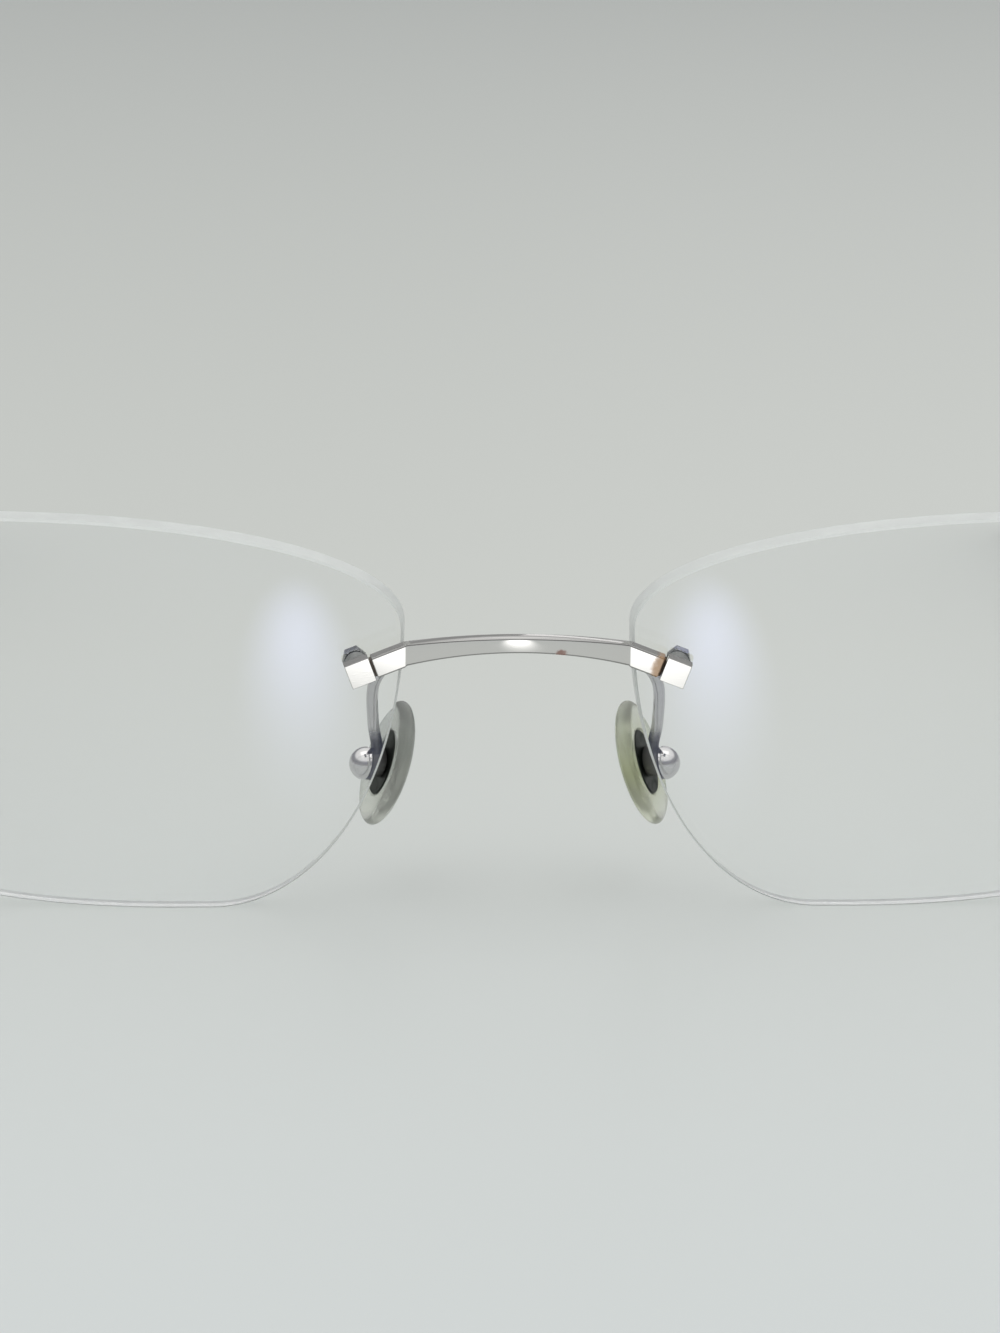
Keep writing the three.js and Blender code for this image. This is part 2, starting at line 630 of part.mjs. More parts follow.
function templeRing(length, section) {
  const { centre, up } = templeAt(length);
  return ringAt(centre, vec(-1, 0, 0), up, section);
}

const earStep = (i) => TEMPLE_STRAIGHT + (earArc * i) / EAR_STEPS;
const earSteps = Array.from({ length: EAR_STEPS + 1 }, (_, i) => earStep(i));

function coreSection(gap) {
  return roundedSection(2 * (CORE_RADIUS + gap), 2 * (CORE_RADIUS + gap), CORE_RADIUS);
}

function templeGeometry() {
  const bar = (height) => roundedSection(TEMPLE_THICKNESS, height, BAR_CORNER);
  const barEnd = tipStart - SEAT_GAP;
  const core = [barEnd, ...earSteps, roundStart - CORE_SHORT];
  const rings = [
    templeRing(BUTT_GAP / 2, bar(HINGE_HEIGHT)),
    templeRing(barEnd, bar(TEMPLE_END_HEIGHT)),
    ...core.map((length) => templeRing(length, coreSection(0))),
  ];
  const middle = knuckle(-KNUCKLE_MIDDLE / 2, KNUCKLE_MIDDLE / 2, 1);
  return cut(join(loft(rings), middle), aboutHinge(screwBore, -HINGE_HEIGHT, HINGE_HEIGHT));
}

// A moulded sleeve with a blind bore for the core, a round end, and a small flat where it stands
function tipGeometry() {
  const oval = (share) => ovalSection(TIP_THICKNESS * share, TIP_HEIGHT * share, TIP_SIDES);
  const mouthWidth = 2 * (CORE_RADIUS + TIP_MOUTH_WALL);
  const mouth = Math.max(TEMPLE_END_HEIGHT / TIP_HEIGHT, mouthWidth / TIP_THICKNESS);
  const rings = [templeRing(tipStart, oval(Math.min(mouth, 1)))];
  [tipStart + TIP_MOUTH_TAPER, ...earSteps, roundStart].forEach((length) => {
    rings.push(templeRing(length, oval(1)));
  });
  for (let i = 1; i <= BEND_STEPS; i += 1) {
    const angle = (i / (BEND_STEPS + 1)) * (Math.PI / 2);
    rings.push(templeRing(roundStart + tipRound * Math.sin(angle), oval(Math.cos(angle))));
  }
  const boreSteps = [tipStart - CUT_PAST, ...earSteps, roundStart - CORE_SHORT + FIT_GAP];
  const bore = loft(boreSteps.map((length) => templeRing(length, coreSection(FIT_GAP))));
  const end = templeAt(roundStart).centre;
  const ground = block(
    vec(end.x - TIP_HEIGHT, end.y - 2 * TIP_HEIGHT, floor - 2 * TIP_HEIGHT),
    vec(end.x + TIP_HEIGHT, end.y + 2 * TIP_HEIGHT, floor),
  );
  return cut(loft(rings), bore, ground);
}

// Finishes

const finishes = {
  clearLens: { color: 0xe9efef, roughness: 0.04, metalness: 0, transparent: true, opacity: 0.35 },
  polishedMetal: { color: 0xc9c9c7, roughness: 0.12, metalness: 1 },
  satinSteel: { color: 0x9b9d9e, roughness: 0.35, metalness: 1 },
  darkPlate: { color: 0x2b2f2b, roughness: 0.4, metalness: 0.6 },
  clearPlastic: { color: 0xd8dcd8, roughness: 0.2, metalness: 0, transparent: true, opacity: 0.6 },
  padSilicone: { color: 0xb9bdaa, roughness: 0.35, metalness: 0, transparent: true, opacity: 0.7 },
  tipAcetate: { color: 0x3a3b3d, roughness: 0.25, metalness: 0 },
};

function piece(name, geometry, finish) {
  const mesh = new THREE.Mesh(geometry, new THREE.MeshStandardMaterial(finishes[finish]));
  mesh.name = name;
  return mesh;
}

// Assembly

function framed(matrix, ...children) {
  const group = new THREE.Group();
  matrix.decompose(group.position, group.quaternion, group.scale);
  return group.add(...children);
}

const shapes = {
  nosePost: postGeometry(-1),
  templePost: postGeometry(1),
  nut: nutGeometry(),
  arm: armGeometry(),
  plate: plateGeometry(),
  ball: ballGeometry(),
  pad: padGeometry(),
  endpiece: endpieceGeometry(),
  screw: screwGeometry(),
  temple: templeGeometry(),
  tip: tipGeometry(),
};

function mountSet(place, side, frame, post) {
  const name = (item) => `${place}_${item}_${side}`;
  return framed(
    frame,
    piece(name("post"), post, "polishedMetal"),
    piece(name("front_washer"), washerGeometry.front, "clearPlastic"),
    piece(name("bushing"), bushingGeometry, "clearPlastic"),
    piece(name("back_washer"), washerGeometry.back, "clearPlastic"),
    piece(name("nut"), shapes.nut, "satinSteel"),
  );
}

function sideOf(side, mirror) {
  const lens = framed(
    lensSeat,
    piece(`lens_${side}`, lensMesh, "clearLens"),
    mountSet("bridge", side, noseMount, shapes.nosePost),
    mountSet("endpiece", side, templeMount, shapes.templePost),
  );
  const pad = framed(
    padFrame,
    piece(`pad_plate_${side}`, shapes.plate, "darkPlate"),
    piece(`pad_ball_${side}`, shapes.ball, "polishedMetal"),
    piece(`nose_pad_${side}`, shapes.pad, "padSilicone"),
  );
  const front = framed(tilt, lens, piece(`pad_arm_${side}`, shapes.arm, "polishedMetal"), pad);
  const group = new THREE.Group();
  group.add(
    front,
    piece(`endpiece_${side}`, shapes.endpiece, "polishedMetal"),
    piece(`hinge_screw_${side}`, shapes.screw, "satinSteel"),
    piece(`temple_${side}`, shapes.temple, "polishedMetal"),
    piece(`temple_tip_${side}`, shapes.tip, "tipAcetate"),
  );
  group.scale.x = mirror;
  return group;
}

const glasses = new THREE.Group();
glasses.add(framed(tilt, piece("bridge_bar", bridgeGeometry(), "polishedMetal")));
glasses.add(sideOf("left", 1));
glasses.add(sideOf("right", -1));

// The origin is the middle of the glasses' box, on the surface that they stand on
const box = new THREE.Box3().setFromObject(glasses, true);
glasses.position.set(0, -(box.min.y + box.max.y) / 2, -floor);
const part = new THREE.Group();
part.add(glasses);

export default part;
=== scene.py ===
import math

import bmesh
import bpy
from mathutils import Matrix, Vector
from mathutils.geometry import delaunay_2d_cdt


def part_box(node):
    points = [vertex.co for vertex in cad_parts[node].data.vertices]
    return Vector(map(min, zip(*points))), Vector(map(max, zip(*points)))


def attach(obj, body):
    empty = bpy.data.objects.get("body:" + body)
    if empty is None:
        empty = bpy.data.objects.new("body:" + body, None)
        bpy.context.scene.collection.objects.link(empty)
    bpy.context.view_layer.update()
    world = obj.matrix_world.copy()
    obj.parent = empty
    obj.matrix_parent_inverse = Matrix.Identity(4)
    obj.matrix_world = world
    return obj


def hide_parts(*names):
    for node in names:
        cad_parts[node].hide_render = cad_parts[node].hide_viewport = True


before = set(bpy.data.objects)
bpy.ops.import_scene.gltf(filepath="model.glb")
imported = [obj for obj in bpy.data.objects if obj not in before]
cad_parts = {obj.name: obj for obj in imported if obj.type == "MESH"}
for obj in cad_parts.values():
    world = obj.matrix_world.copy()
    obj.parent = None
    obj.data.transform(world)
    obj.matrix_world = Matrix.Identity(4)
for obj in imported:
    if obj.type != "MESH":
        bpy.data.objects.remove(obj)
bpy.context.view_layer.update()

# Lenses: two clear resin lenses under a thin blue-violet anti-reflection coating. Each is cut to
# its outline from a curved blank, drilled near both ends, ground matt round its edge and
# chamfered there.
MM = 0.001
SIDES = ("left", "right")
LENS_WIDTH = 54 * MM
LENS_HEIGHT = 33.6 * MM
LENS_THICKNESS = 2.2 * MM
LENS_RADIUS = 120 * MM
LENS_TOP_OUTWARD = 2.8 * MM
LENS_LOW_INWARD = 11.4 * MM
LENS_NOSE_RISE = 7.6 * MM
LENS_TEMPLE_RISE = 2.7 * MM
NOSE_EXPONENT = 2
TEMPLE_EXPONENT = 2.8
LENS_CHAMFER = 0.18 * MM
LENS_HOLE_RADIUS = 0.95 * MM
NOSE_HOLE = Vector((-23.45, 4.4)) * MM
TEMPLE_HOLE = Vector((23.4, 4.5)) * MM
LENS_HOLES = (NOSE_HOLE, TEMPLE_HOLE)
BRIDGE_GAP = 18.6 * MM
LENS_WRAP = math.radians(4)
FRONT_TILT = math.radians(5)
OUTLINE_STEPS = 48
LENS_ROWS = 16
HOLE_SIDES = 32
HOLE_CLEARANCE = 1.5 * LENS_HOLE_RADIUS
ROW_THINNING = 1.6
TRIANGLES_INSIDE = 1
SAME_POINT = 0.00001 * MM
RESIN_TINT = (0.985, 0.99, 0.99, 1)
COATING_SHEEN = (0.58, 0.63, 1.0, 1)
RESIN_IOR = 1.5
LENS_SHADOW = (0.985, 0.988, 0.988, 1)
# The ground edge is painted paler towards the top, as lit, and greyer at its foot, as painted shade
EDGE_PAINTED_LIGHT_TONES = ((0.5 * MM, (0.61, 0.62, 0.615, 1)), (4.5 * MM, (0.76, 0.78, 0.76, 1)))
EDGE_SHADOW = (0.92, 0.925, 0.92, 1)
# The drilled hole walls are painted dark grey, as painted shade
HOLE_PAINTED_SHADE = (0.16, 0.165, 0.16, 1)


def front_depth(u, v):
    """How far the front face lies behind the lens's foremost point."""
    return LENS_RADIUS - math.sqrt(LENS_RADIUS**2 - u * u - v * v)


def back_depth(u, v):
    """The same for the back face, which has the same centre of curvature."""
    return LENS_RADIUS - math.sqrt((LENS_RADIUS - LENS_THICKNESS) ** 2 - u * u - v * v)


def lens_outline():
    """Four rounded quarters between the lens's outermost points, u outward and v up."""
    half = LENS_WIDTH / 2
    rise = LENS_HEIGHT / 2
    quarters = (
        (LENS_TOP_OUTWARD, LENS_TEMPLE_RISE, half, rise, TEMPLE_EXPONENT),
        (LENS_TOP_OUTWARD, LENS_NOSE_RISE, -half, rise, NOSE_EXPONENT),
        (-LENS_LOW_INWARD, LENS_NOSE_RISE, -half, -rise, NOSE_EXPONENT),
        (-LENS_LOW_INWARD, LENS_TEMPLE_RISE, half, -rise, TEMPLE_EXPONENT),
    )
    points = []
    for number, (u, v, to_u, to_v, power) in enumerate(quarters):
        for step in range(OUTLINE_STEPS):
            share = step / OUTLINE_STEPS
            angle = (1 - share if number % 2 else share) * math.pi / 2
            across = math.cos(angle) ** (2 / power)
            along = math.sin(angle) ** (2 / power)
            points.append(Vector((u + (to_u - u) * across, v + (to_v - v) * along)))
    return points


def drawn_in(points, inset):
    """The same closed outline, moved inward."""
    moved = []
    for number, point in enumerate(points):
        run = points[(number + 1) % len(points)] - points[number - 1]
        moved.append(point - Vector((run.y, -run.x)).normalized() * inset)
    return moved


def circle(radius, sides):
    turns = [2 * math.pi * side / sides for side in range(sides)]
    return [Vector((radius * math.cos(turn), radius * math.sin(turn))) for turn in turns]


def band(bm, near, far, material=0):
    """A closed strip of faces between two rings of vertices."""
    for number in range(len(near)):
        following = (number + 1) % len(near)
        face = bm.faces.new((near[number], near[following], far[following], far[number]))
        face.material_index = material


def lens_mesh():
    """Two curved faces, triangulated between the outline and the holes, and a chamfered edge."""
    edge = lens_outline()
    face_edge = drawn_in(edge, LENS_CHAMFER)
    flat = list(face_edge)
    loops = [range(len(edge))]
    for hole in LENS_HOLES:
        loops.append(range(len(flat), len(flat) + HOLE_SIDES))
        flat += [hole + point for point in circle(LENS_HOLE_RADIUS, HOLE_SIDES)]
    for row in range(1, LENS_ROWS):
        share = row / LENS_ROWS
        for point in face_edge[:: max(1, round(ROW_THINNING / share))]:
            inner = point * share
            if all((inner - hole).length > HOLE_CLEARANCE for hole in LENS_HOLES):
                flat.append(inner)
    borders = [(loop[i - 1], loop[i]) for loop in loops for i in range(len(loop))]
    net = delaunay_2d_cdt(flat, borders, [], TRIANGLES_INSIDE, SAME_POINT)
    flat, _, triangles, origins, _, _ = net
    place = {source: index for index, sources in enumerate(origins) for source in sources}
    outer, *hole_rims = [{place[i] for i in loop} for loop in loops]
    triangles = [t for t in triangles if not any(rim.issuperset(t) for rim in hole_rims)]
    # The holes run square to the lens, so points behind lie nearer its middle, except at the edge
    shrink = 1 - LENS_THICKNESS / LENS_RADIUS
    bm = bmesh.new()
    fronts = [bm.verts.new((p.x, front_depth(*p), p.y)) for p in flat]
    behind = [p if index in outer else p * shrink for index, p in enumerate(flat)]
    backs = [bm.verts.new((p.x, back_depth(*p), p.y)) for p in behind]
    for triangle in triangles:
        bm.faces.new([fronts[i] for i in triangle])
        bm.faces.new([backs[i] for i in reversed(triangle)])
    rims = [
        [fronts[place[i]] for i in loops[0]],
        [bm.verts.new((p.x, front_depth(*p) + LENS_CHAMFER, p.y)) for p in edge],
        [bm.verts.new((p.x, back_depth(*p) - LENS_CHAMFER, p.y)) for p in edge],
        [backs[place[i]] for i in loops[0]],
    ]
    for near, far in zip(rims, rims[1:]):
        band(bm, near, far, material=1)
    for loop in loops[1:]:
        band(bm, [fronts[place[i]] for i in loop], [backs[place[i]] for i in loop], material=2)
    bmesh.ops.recalc_face_normals(bm, faces=bm.faces)
    return bm


def add_piece(name, bm, materials, side="left", sharp=35, flats=True):
    """A piece from a mesh, which is mirrored if side is right.

    Edges that turn by more than sharp degrees stay crisp, and flats shades flat faces evenly.
    """
    if side == "right":
        bm.transform(Matrix.Scale(-1, 4, (1, 0, 0)))
        bmesh.ops.reverse_faces(bm, faces=bm.faces)
    for face in bm.faces:
        face.smooth = True
    for edge in bm.edges:
        edge.smooth = edge.calc_face_angle(math.pi) < math.radians(sharp)
    mesh = bpy.data.meshes.new(name)
    bm.to_mesh(mesh)
    bm.free()
    for material in materials:
        mesh.materials.append(material)
    made = bpy.data.objects.new(name, mesh)
    bpy.context.scene.collection.objects.link(made)
    if flats:
        made.modifiers.new("flat_faces", "WEIGHTED_NORMAL").keep_sharp = True
    return made


def add_node(tree, kind, sockets=None, **settings):
    """A shader node with its settings, and with values or links on its named sockets."""
    made = tree.nodes.new("ShaderNode" + kind)
    for name, value in settings.items():
        setattr(made, name, value)
    for name, value in (sockets or {}).items():
        if isinstance(value, bpy.types.NodeSocket):
            tree.links.new(value, made.inputs[name])
        else:
            made.inputs[name].default_value = value
    return made


def new_group(name, inputs, outputs):
    """An empty shader node group whose inputs and outputs are numbers."""
    group = bpy.data.node_groups.new(name, "ShaderNodeTree")
    for label in inputs:
        group.interface.new_socket(label, in_out="INPUT", socket_type="NodeSocketFloat")
    for label in outputs:
        group.interface.new_socket(label, in_out="OUTPUT", socket_type="NodeSocketFloat")
    return group, group.nodes.new("NodeGroupInput"), group.nodes.new("NodeGroupOutput")


def handling_wear():
    """Smudges that dull a polish in patches, and fine scratches from wiping."""
    labels = ("Smudge Scale", "Fresh", "Worn", "Scratch Scale")
    group, given, result = new_group("handling_wear", labels, ("Roughness", "Scratches"))
    place = add_node(group, "TexCoord").outputs["Object"]
    smudge_scale = given.outputs["Smudge Scale"]
    smudge = add_node(group, "TexNoise", {"Vector": place, "Scale": smudge_scale, "Detail": 4.0})
    dull = add_node(
        group,
        "MapRange",
        {
            "Value": smudge.outputs["Fac"],
            "From Min": 0.42,
            "From Max": 0.68,
            "To Min": given.outputs["Fresh"],
            "To Max": given.outputs["Worn"],
        },
        interpolation_type="SMOOTHSTEP",
    )
    wiping = {"Rotation": (0.3, 0.2, 0.6), "Scale": (0.12, 1.0, 1.0)}
    wiped = add_node(group, "Mapping", {"Vector": place, **wiping}).outputs[0]
    scratch_scale = given.outputs["Scratch Scale"]
    lines = add_node(group, "TexNoise", {"Vector": wiped, "Scale": scratch_scale, "Detail": 1.0})
    limits = {"From Min": 0.66, "From Max": 0.72}
    scratches = add_node(group, "MapRange", {"Value": lines.outputs["Fac"], **limits})
    group.links.new(dull.outputs[0], result.inputs["Roughness"])
    group.links.new(scratches.outputs[0], result.inputs["Scratches"])
    return group


wear_group = handling_wear()


def new_material(name):
    material = bpy.data.materials.new(name)
    material.use_nodes = True
    return material, material.node_tree, material.node_tree.nodes["Principled BSDF"]


def set_shader(shader, values):
    for name, value in values.items():
        shader.inputs[name].default_value = value


def add_wear(tree, shader, smudge, fresh, worn, scratch=9000.0, depth=0.002 * MM):
    """Places the handling wear in a material, on its roughness and as a shallow bump."""
    wear = add_node(tree, "Group", node_tree=wear_group)
    values = {"Smudge Scale": smudge, "Fresh": fresh, "Worn": worn, "Scratch Scale": scratch}
    for name, value in values.items():
        wear.inputs[name].default_value = value
    tree.links.new(wear.outputs["Roughness"], shader.inputs["Roughness"])
    scratches = wear.outputs["Scratches"]
    bump = add_node(tree, "Bump", {"Strength": 0.3, "Distance": depth, "Height": scratches})
    tree.links.new(bump.outputs[0], shader.inputs["Normal"])
    return wear


def compute(tree, operation, *terms, **settings):
    """The result of a Math node on numbers or on outputs of other nodes."""
    sockets = dict(enumerate(terms))
    return add_node(tree, "Math", sockets, operation=operation, **settings).outputs[0]


def let_light_through(tree, shader, passed):
    """Lets light that falls on other things pass through a clear piece, without a solid shadow."""
    open_way = add_node(tree, "BsdfTransparent", {"Color": passed})
    rays = add_node(tree, "LightPath").outputs
    lighting = compute(tree, "MAXIMUM", rays["Is Shadow Ray"], rays["Is Diffuse Ray"])
    ways = {0: lighting, 1: shader.outputs[0], 2: open_way.outputs[0]}
    mix = add_node(tree, "MixShader", ways)
    tree.links.new(mix.outputs[0], tree.nodes["Material Output"].inputs["Surface"])


def coordinate(tree, axis, space="Object"):
    """One coordinate of the place that is shaded."""
    place = add_node(tree, "TexCoord").outputs[space]
    return add_node(tree, "SeparateXYZ", {0: place}).outputs[axis]


def toned(tree, value, tones):
    """A colour that blends through tones, (place, colour) each, as a value passes their places."""
    first = tones[0][0]
    last = tones[-1][0]
    share = add_node(tree, "MapRange", {"Value": value, "From Min": first, "From Max": last})
    ramp = add_node(tree, "ValToRGB", {"Fac": share.outputs[0]})
    stops = ramp.color_ramp.elements
    for number, (place, colour) in enumerate(tones):
        # A new ramp has two stops of its own
        made = stops[number] if number < 2 else stops.new(1.0)
        made.position = (place - first) / (last - first)
        made.color = colour
    return ramp.outputs["Color"]


def coated_resin():
    """Clear lens faces: the coating tints what little they reflect, and light passes through."""
    material, tree, shader = new_material("coated_resin")
    set_shader(
        shader,
        {
            "Base Color": RESIN_TINT,
            "IOR": RESIN_IOR,
            "Transmission Weight": 1.0,
            "Specular Tint": COATING_SHEEN,
        },
    )
    add_wear(tree, shader, smudge=140.0, fresh=0.0, worn=0.02, depth=0.00003 * MM)
    let_light_through(tree, shader, LENS_SHADOW)
    return material


def ground_resin():
    """The lens edge as the grinding wheel leaves it: matt, with painted light paling its top and
    painted shade greying its foot.
    """
    material, tree, shader = new_material("ground_resin")
    set_shader(shader, {"IOR": RESIN_IOR, "Transmission Weight": 0.35})
    edge_painted_light = toned(tree, coordinate(tree, "Z"), EDGE_PAINTED_LIGHT_TONES)
    tree.links.new(edge_painted_light, shader.inputs["Base Color"])
    add_wear(tree, shader, smudge=900.0, fresh=0.35, worn=0.55, scratch=16000.0, depth=0.004 * MM)
    let_light_through(tree, shader, EDGE_SHADOW)
    return material


def drilled_resin():
    """The wall of a drilled hole, scored by the drill and painted dark grey as shade."""
    material, tree, shader = new_material("drilled_resin")
    set_shader(shader, {"Base Color": HOLE_PAINTED_SHADE, "IOR": RESIN_IOR})
    add_wear(tree, shader, smudge=2600.0, fresh=0.3, worn=0.5, scratch=16000.0, depth=0.004 * MM)
    return material


nose_reach = LENS_WIDTH / 2 * math.cos(LENS_WRAP)
nose_reach += front_depth(LENS_WIDTH / 2, LENS_NOSE_RISE) * math.sin(LENS_WRAP)
lens_turn = Matrix.Rotation(LENS_WRAP, 4, "Z")
lens_seat = Matrix.Translation((BRIDGE_GAP / 2 + nose_reach, 0, 0)) @ lens_turn
tilt = Matrix.Rotation(FRONT_TILT, 4, "X")
trial = lens_mesh()
trial.transform(tilt @ lens_seat)
lens_corner = Vector([min(vert.co[axis] for vert in trial.verts) for axis in range(3)])
trial.free()
# The front's own axes start midway between the lenses, at the height of their centres
front = Matrix.Translation(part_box("lens_left")[0] - lens_corner) @ tilt

lens_materials = [coated_resin(), ground_resin(), drilled_resin()]
lenses = {}
for side in SIDES:
    resin = lens_mesh()
    resin.transform(front @ lens_seat)
    lens = add_piece(f"clear_lens_{side}", resin, lens_materials, side, sharp=20, flats=False)
    lenses[side] = lens
    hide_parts(f"lens_{side}")
    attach(lens, "front")

# Bridge bar: one strip of plated metal, bowed forward and arched up, with flat ends over the
# lenses. It is pressed, polished and plated, and has begun to stain at its edge and at one joint.
# The bar's rounded edges take a darker tone of its plating, as painted shade.
NOSE_MOUNT_SLOPE = math.radians(19.5)
NOSE_HOLE_INSET = LENS_WIDTH / 2 + NOSE_HOLE.x
HEAD_SIZE = 2.05 * MM
HEAD_DEPTH = 1.2 * MM
HEAD_BACK = -0.35 * MM
GROOVE = 0.22 * MM
BAR_DEPTH = 1.2 * MM
BAR_END_HEIGHT = 1.8 * MM
BAR_MID_HEIGHT = 1.3 * MM
BAR_CORNER = 0.15 * MM
BAR_OVERHANG = 0.3 * MM
BAR_RISE = 1.5 * MM
BAR_BOW = 1.8 * MM
BAR_CREASE = 0.22 * MM
TENON_LENGTH = 0.7 * MM
TENON_HEIGHT = 1.0 * MM
TENON_DEPTH = 0.6 * MM
NECK_HEIGHT = 1.55 * MM
NECK_DEPTH = 0.85 * MM
NECK_GAP = 0.04 * MM
ARCH_STEPS = 40
CORNER_STEPS = 4
PLATED_METAL = (0.73, 0.71, 0.69, 1)
STAIN_BROWN = (0.4, 0.27, 0.24, 1)
STAIN_ORANGE = (0.5, 0.27, 0.11, 1)
# Painted shade darkens the narrow grooves between the bar's ends and the post heads
GROOVE_PAINTED_SHADE = (0.09, 0.07, 0.055, 1)
# A darker tone of the plating on rounded edges of the bar and post heads, a painted shade
ROUNDED_EDGE_SHADE = (0.34, 0.335, 0.325, 1)
STAIN_DULLING = 0.5
SPECK_SHARE = 0.38
SPECK_DROP = 0.42
SPECK_SIZE = {"Width": 0.56 * MM, "Height": 0.42 * MM, "Ragged": 1.2}
JOINT_STAIN_SIZE = {"Width": 0.95 * MM, "Height": 1.8 * MM, "Ragged": 0.6}
GROOVE_SIZE = {"Width": 0.2 * MM, "Height": 1.6 * MM, "Ragged": 0.2}
UP = Vector((0, 0, 1))


def mount_frame(hole, slope):
    """Axes on the front of the lens at a hole: along the metal, back into the lens, and up."""
    origin = Vector((hole.x, front_depth(*hole), hole.y))
    back = (Vector((0, LENS_RADIUS, 0)) - origin).normalized()
    along = Vector((math.cos(slope), 0, -math.sin(slope)))
    along = (along - back * along.dot(back)).normalized()
    axes = Matrix((along, back, along.cross(back))).transposed().to_4x4()
    return Matrix.Translation(origin) @ axes


def rounded_section(width, height, corner):
    """The outline of a rectangle with rounded corners."""
    points = []
    for number, (across, up) in enumerate(((1, -1), (1, 1), (-1, 1), (-1, -1))):
        for step in range(CORNER_STEPS + 1):
            angle = (number - 1 + step / CORNER_STEPS) * math.pi / 2
            x = across * (width / 2 - corner) + corner * math.cos(angle)
            y = up * (height / 2 - corner) + corner * math.sin(angle)
            points.append(Vector((x, y)))
    return points


def ring_at(centre, across, up, section):
    """The outline of a section, placed in space."""
    return [centre + across * point.x + up * point.y for point in section]


def loft(rings):
    """A closed skin through rings of points, with a flat face on each end."""
    bm = bmesh.new()
    rows = [[bm.verts.new(point) for point in ring] for ring in rings]
    for near, far in zip(rows, rows[1:]):
        band(bm, near, far)
    bm.faces.new(rows[0])
    bm.faces.new(rows[-1])
    bmesh.ops.recalc_face_normals(bm, faces=bm.faces)
    return bm


nose_frame = lens_seat @ mount_frame(NOSE_HOLE, NOSE_MOUNT_SLOPE)
bar_middle = HEAD_BACK - BAR_DEPTH / 2
tenon_middle = HEAD_BACK - HEAD_DEPTH / 2
bar_shoulder = HEAD_SIZE / 2 + GROOVE
bend_run = (NOSE_HOLE_INSET + BAR_OVERHANG) / math.cos(NOSE_MOUNT_SLOPE)
bend_point = nose_frame @ Vector((-bend_run, bar_middle, 0))


def arch_at(share):
    """Centre, back and upright of the bar, from 0 at the middle of the bridge to 1 at its bend."""
    fall = 1 - share * share
    bowed = bend_point.y - BAR_BOW * fall
    risen = bend_point.z + BAR_RISE * fall
    centre = Vector((bend_point.x * share, bowed, risen))
    along = Vector((bend_point.x, 2 * BAR_BOW * share, -2 * BAR_RISE * share)).normalized()
    return centre, UP.cross(along).normalized(), UP / math.hypot(along.x, along.y)


def bar_height(share):
    return BAR_MID_HEIGHT + (BAR_END_HEIGHT - BAR_MID_HEIGHT) * share * share


def bar_mesh():
    """Half of the bar, from its tenon to the middle of the bridge, joined to its mirror image."""
    axes = nose_frame.to_3x3()
    forward = -axes.col[1]
    upward = axes.col[2].copy()
    upright = UP - forward * UP.dot(forward)
    upright /= upright.dot(upward)
    tenon = rounded_section(TENON_DEPTH, TENON_HEIGHT, BAR_CORNER)
    neck = rounded_section(NECK_DEPTH, NECK_HEIGHT, BAR_CORNER)
    neck_end = -HEAD_SIZE / 2 - NECK_GAP
    eased_end = rounded_section(BAR_DEPTH - BAR_CORNER, BAR_END_HEIGHT - BAR_CORNER, BAR_CORNER)
    full_end = rounded_section(BAR_DEPTH, BAR_END_HEIGHT, BAR_CORNER)
    stations = (
        (TENON_LENGTH - HEAD_SIZE / 2, tenon_middle, tenon),
        (neck_end, tenon_middle, tenon),
        (neck_end, tenon_middle, neck),
        (-bar_shoulder, tenon_middle, neck),
        (-bar_shoulder, bar_middle, eased_end),
        (-bar_shoulder - BAR_CORNER / 2, bar_middle, full_end),
    )
    rings = []
    for x, y, section in stations:
        rings.append(ring_at(nose_frame @ Vector((x, y, 0)), forward, upward, section))
    crease = nose_frame @ Vector((BAR_CREASE - bend_run, bar_middle, 0))
    rings.append(ring_at(crease, forward, upright, full_end))
    last = 1 - BAR_CREASE / bend_point.x
    for step in range(ARCH_STEPS, -1, -1):
        share = last * step / ARCH_STEPS
        centre, back, up = arch_at(share)
        section = rounded_section(BAR_DEPTH, bar_height(share), BAR_CORNER)
        rings.append(ring_at(centre, -back, up, section))
    mirrored = [[Vector((-p.x, p.y, p.z)) for p in ring] for ring in rings[:-1]]
    bm = loft(rings + mirrored[::-1])
    sides = list(bm.faces)[:-2]
    # The rounded corner faces take the second material, a darker painted shade
    for number, face in enumerate(sides):
        on_corner = number % len(full_end) % (CORNER_STEPS + 1) < CORNER_STEPS
        face.material_index = 1 if on_corner else 0
    bm.transform(front)
    return bm


# The same spot marks real stains, and also patches of painted shade
def stain_and_shade_group():
    """A ragged spot round a place, seen from the front and turned to the slope of what it is on."""
    labels = ("X", "Z", "Slope", "Width", "Height", "Ragged")
    group, given, result = new_group("stain", labels, ("Mask",))
    place = add_node(group, "TexCoord").outputs["Object"]
    noise = add_node(group, "TexNoise", {"Vector": place, "Scale": 3500.0, "Detail": 3.0})
    centre = add_node(group, "CombineXYZ", {"X": given.outputs["X"], "Z": given.outputs["Z"]})
    levelled = add_node(
        group,
        "VectorRotate",
        {"Vector": place, "Center": centre.outputs[0], "Angle": given.outputs["Slope"]},
        rotation_type="Y_AXIS",
    )
    split = add_node(group, "SeparateXYZ", {0: levelled.outputs[0]})
    reach = []
    for axis, size in (("X", "Width"), ("Z", "Height")):
        offset = compute(group, "SUBTRACT", split.outputs[axis], given.outputs[axis])
        scaled = compute(group, "DIVIDE", offset, given.outputs[size])
        reach.append(compute(group, "POWER", scaled, 2.0))
    far = compute(group, "ADD", *reach)
    lift = compute(group, "SUBTRACT", noise.outputs["Fac"], 0.5)
    uneven = compute(group, "MULTIPLY_ADD", lift, given.outputs["Ragged"], far)
    mask = add_node(
        group,
        "MapRange",
        {"Value": uneven, "From Min": 0.15, "From Max": 1.05, "To Min": 1.0, "To Max": 0.0},
        interpolation_type="SMOOTHSTEP",
    )
    group.links.new(mask.outputs[0], result.inputs["Mask"])
    return group


spot_group = stain_and_shade_group()


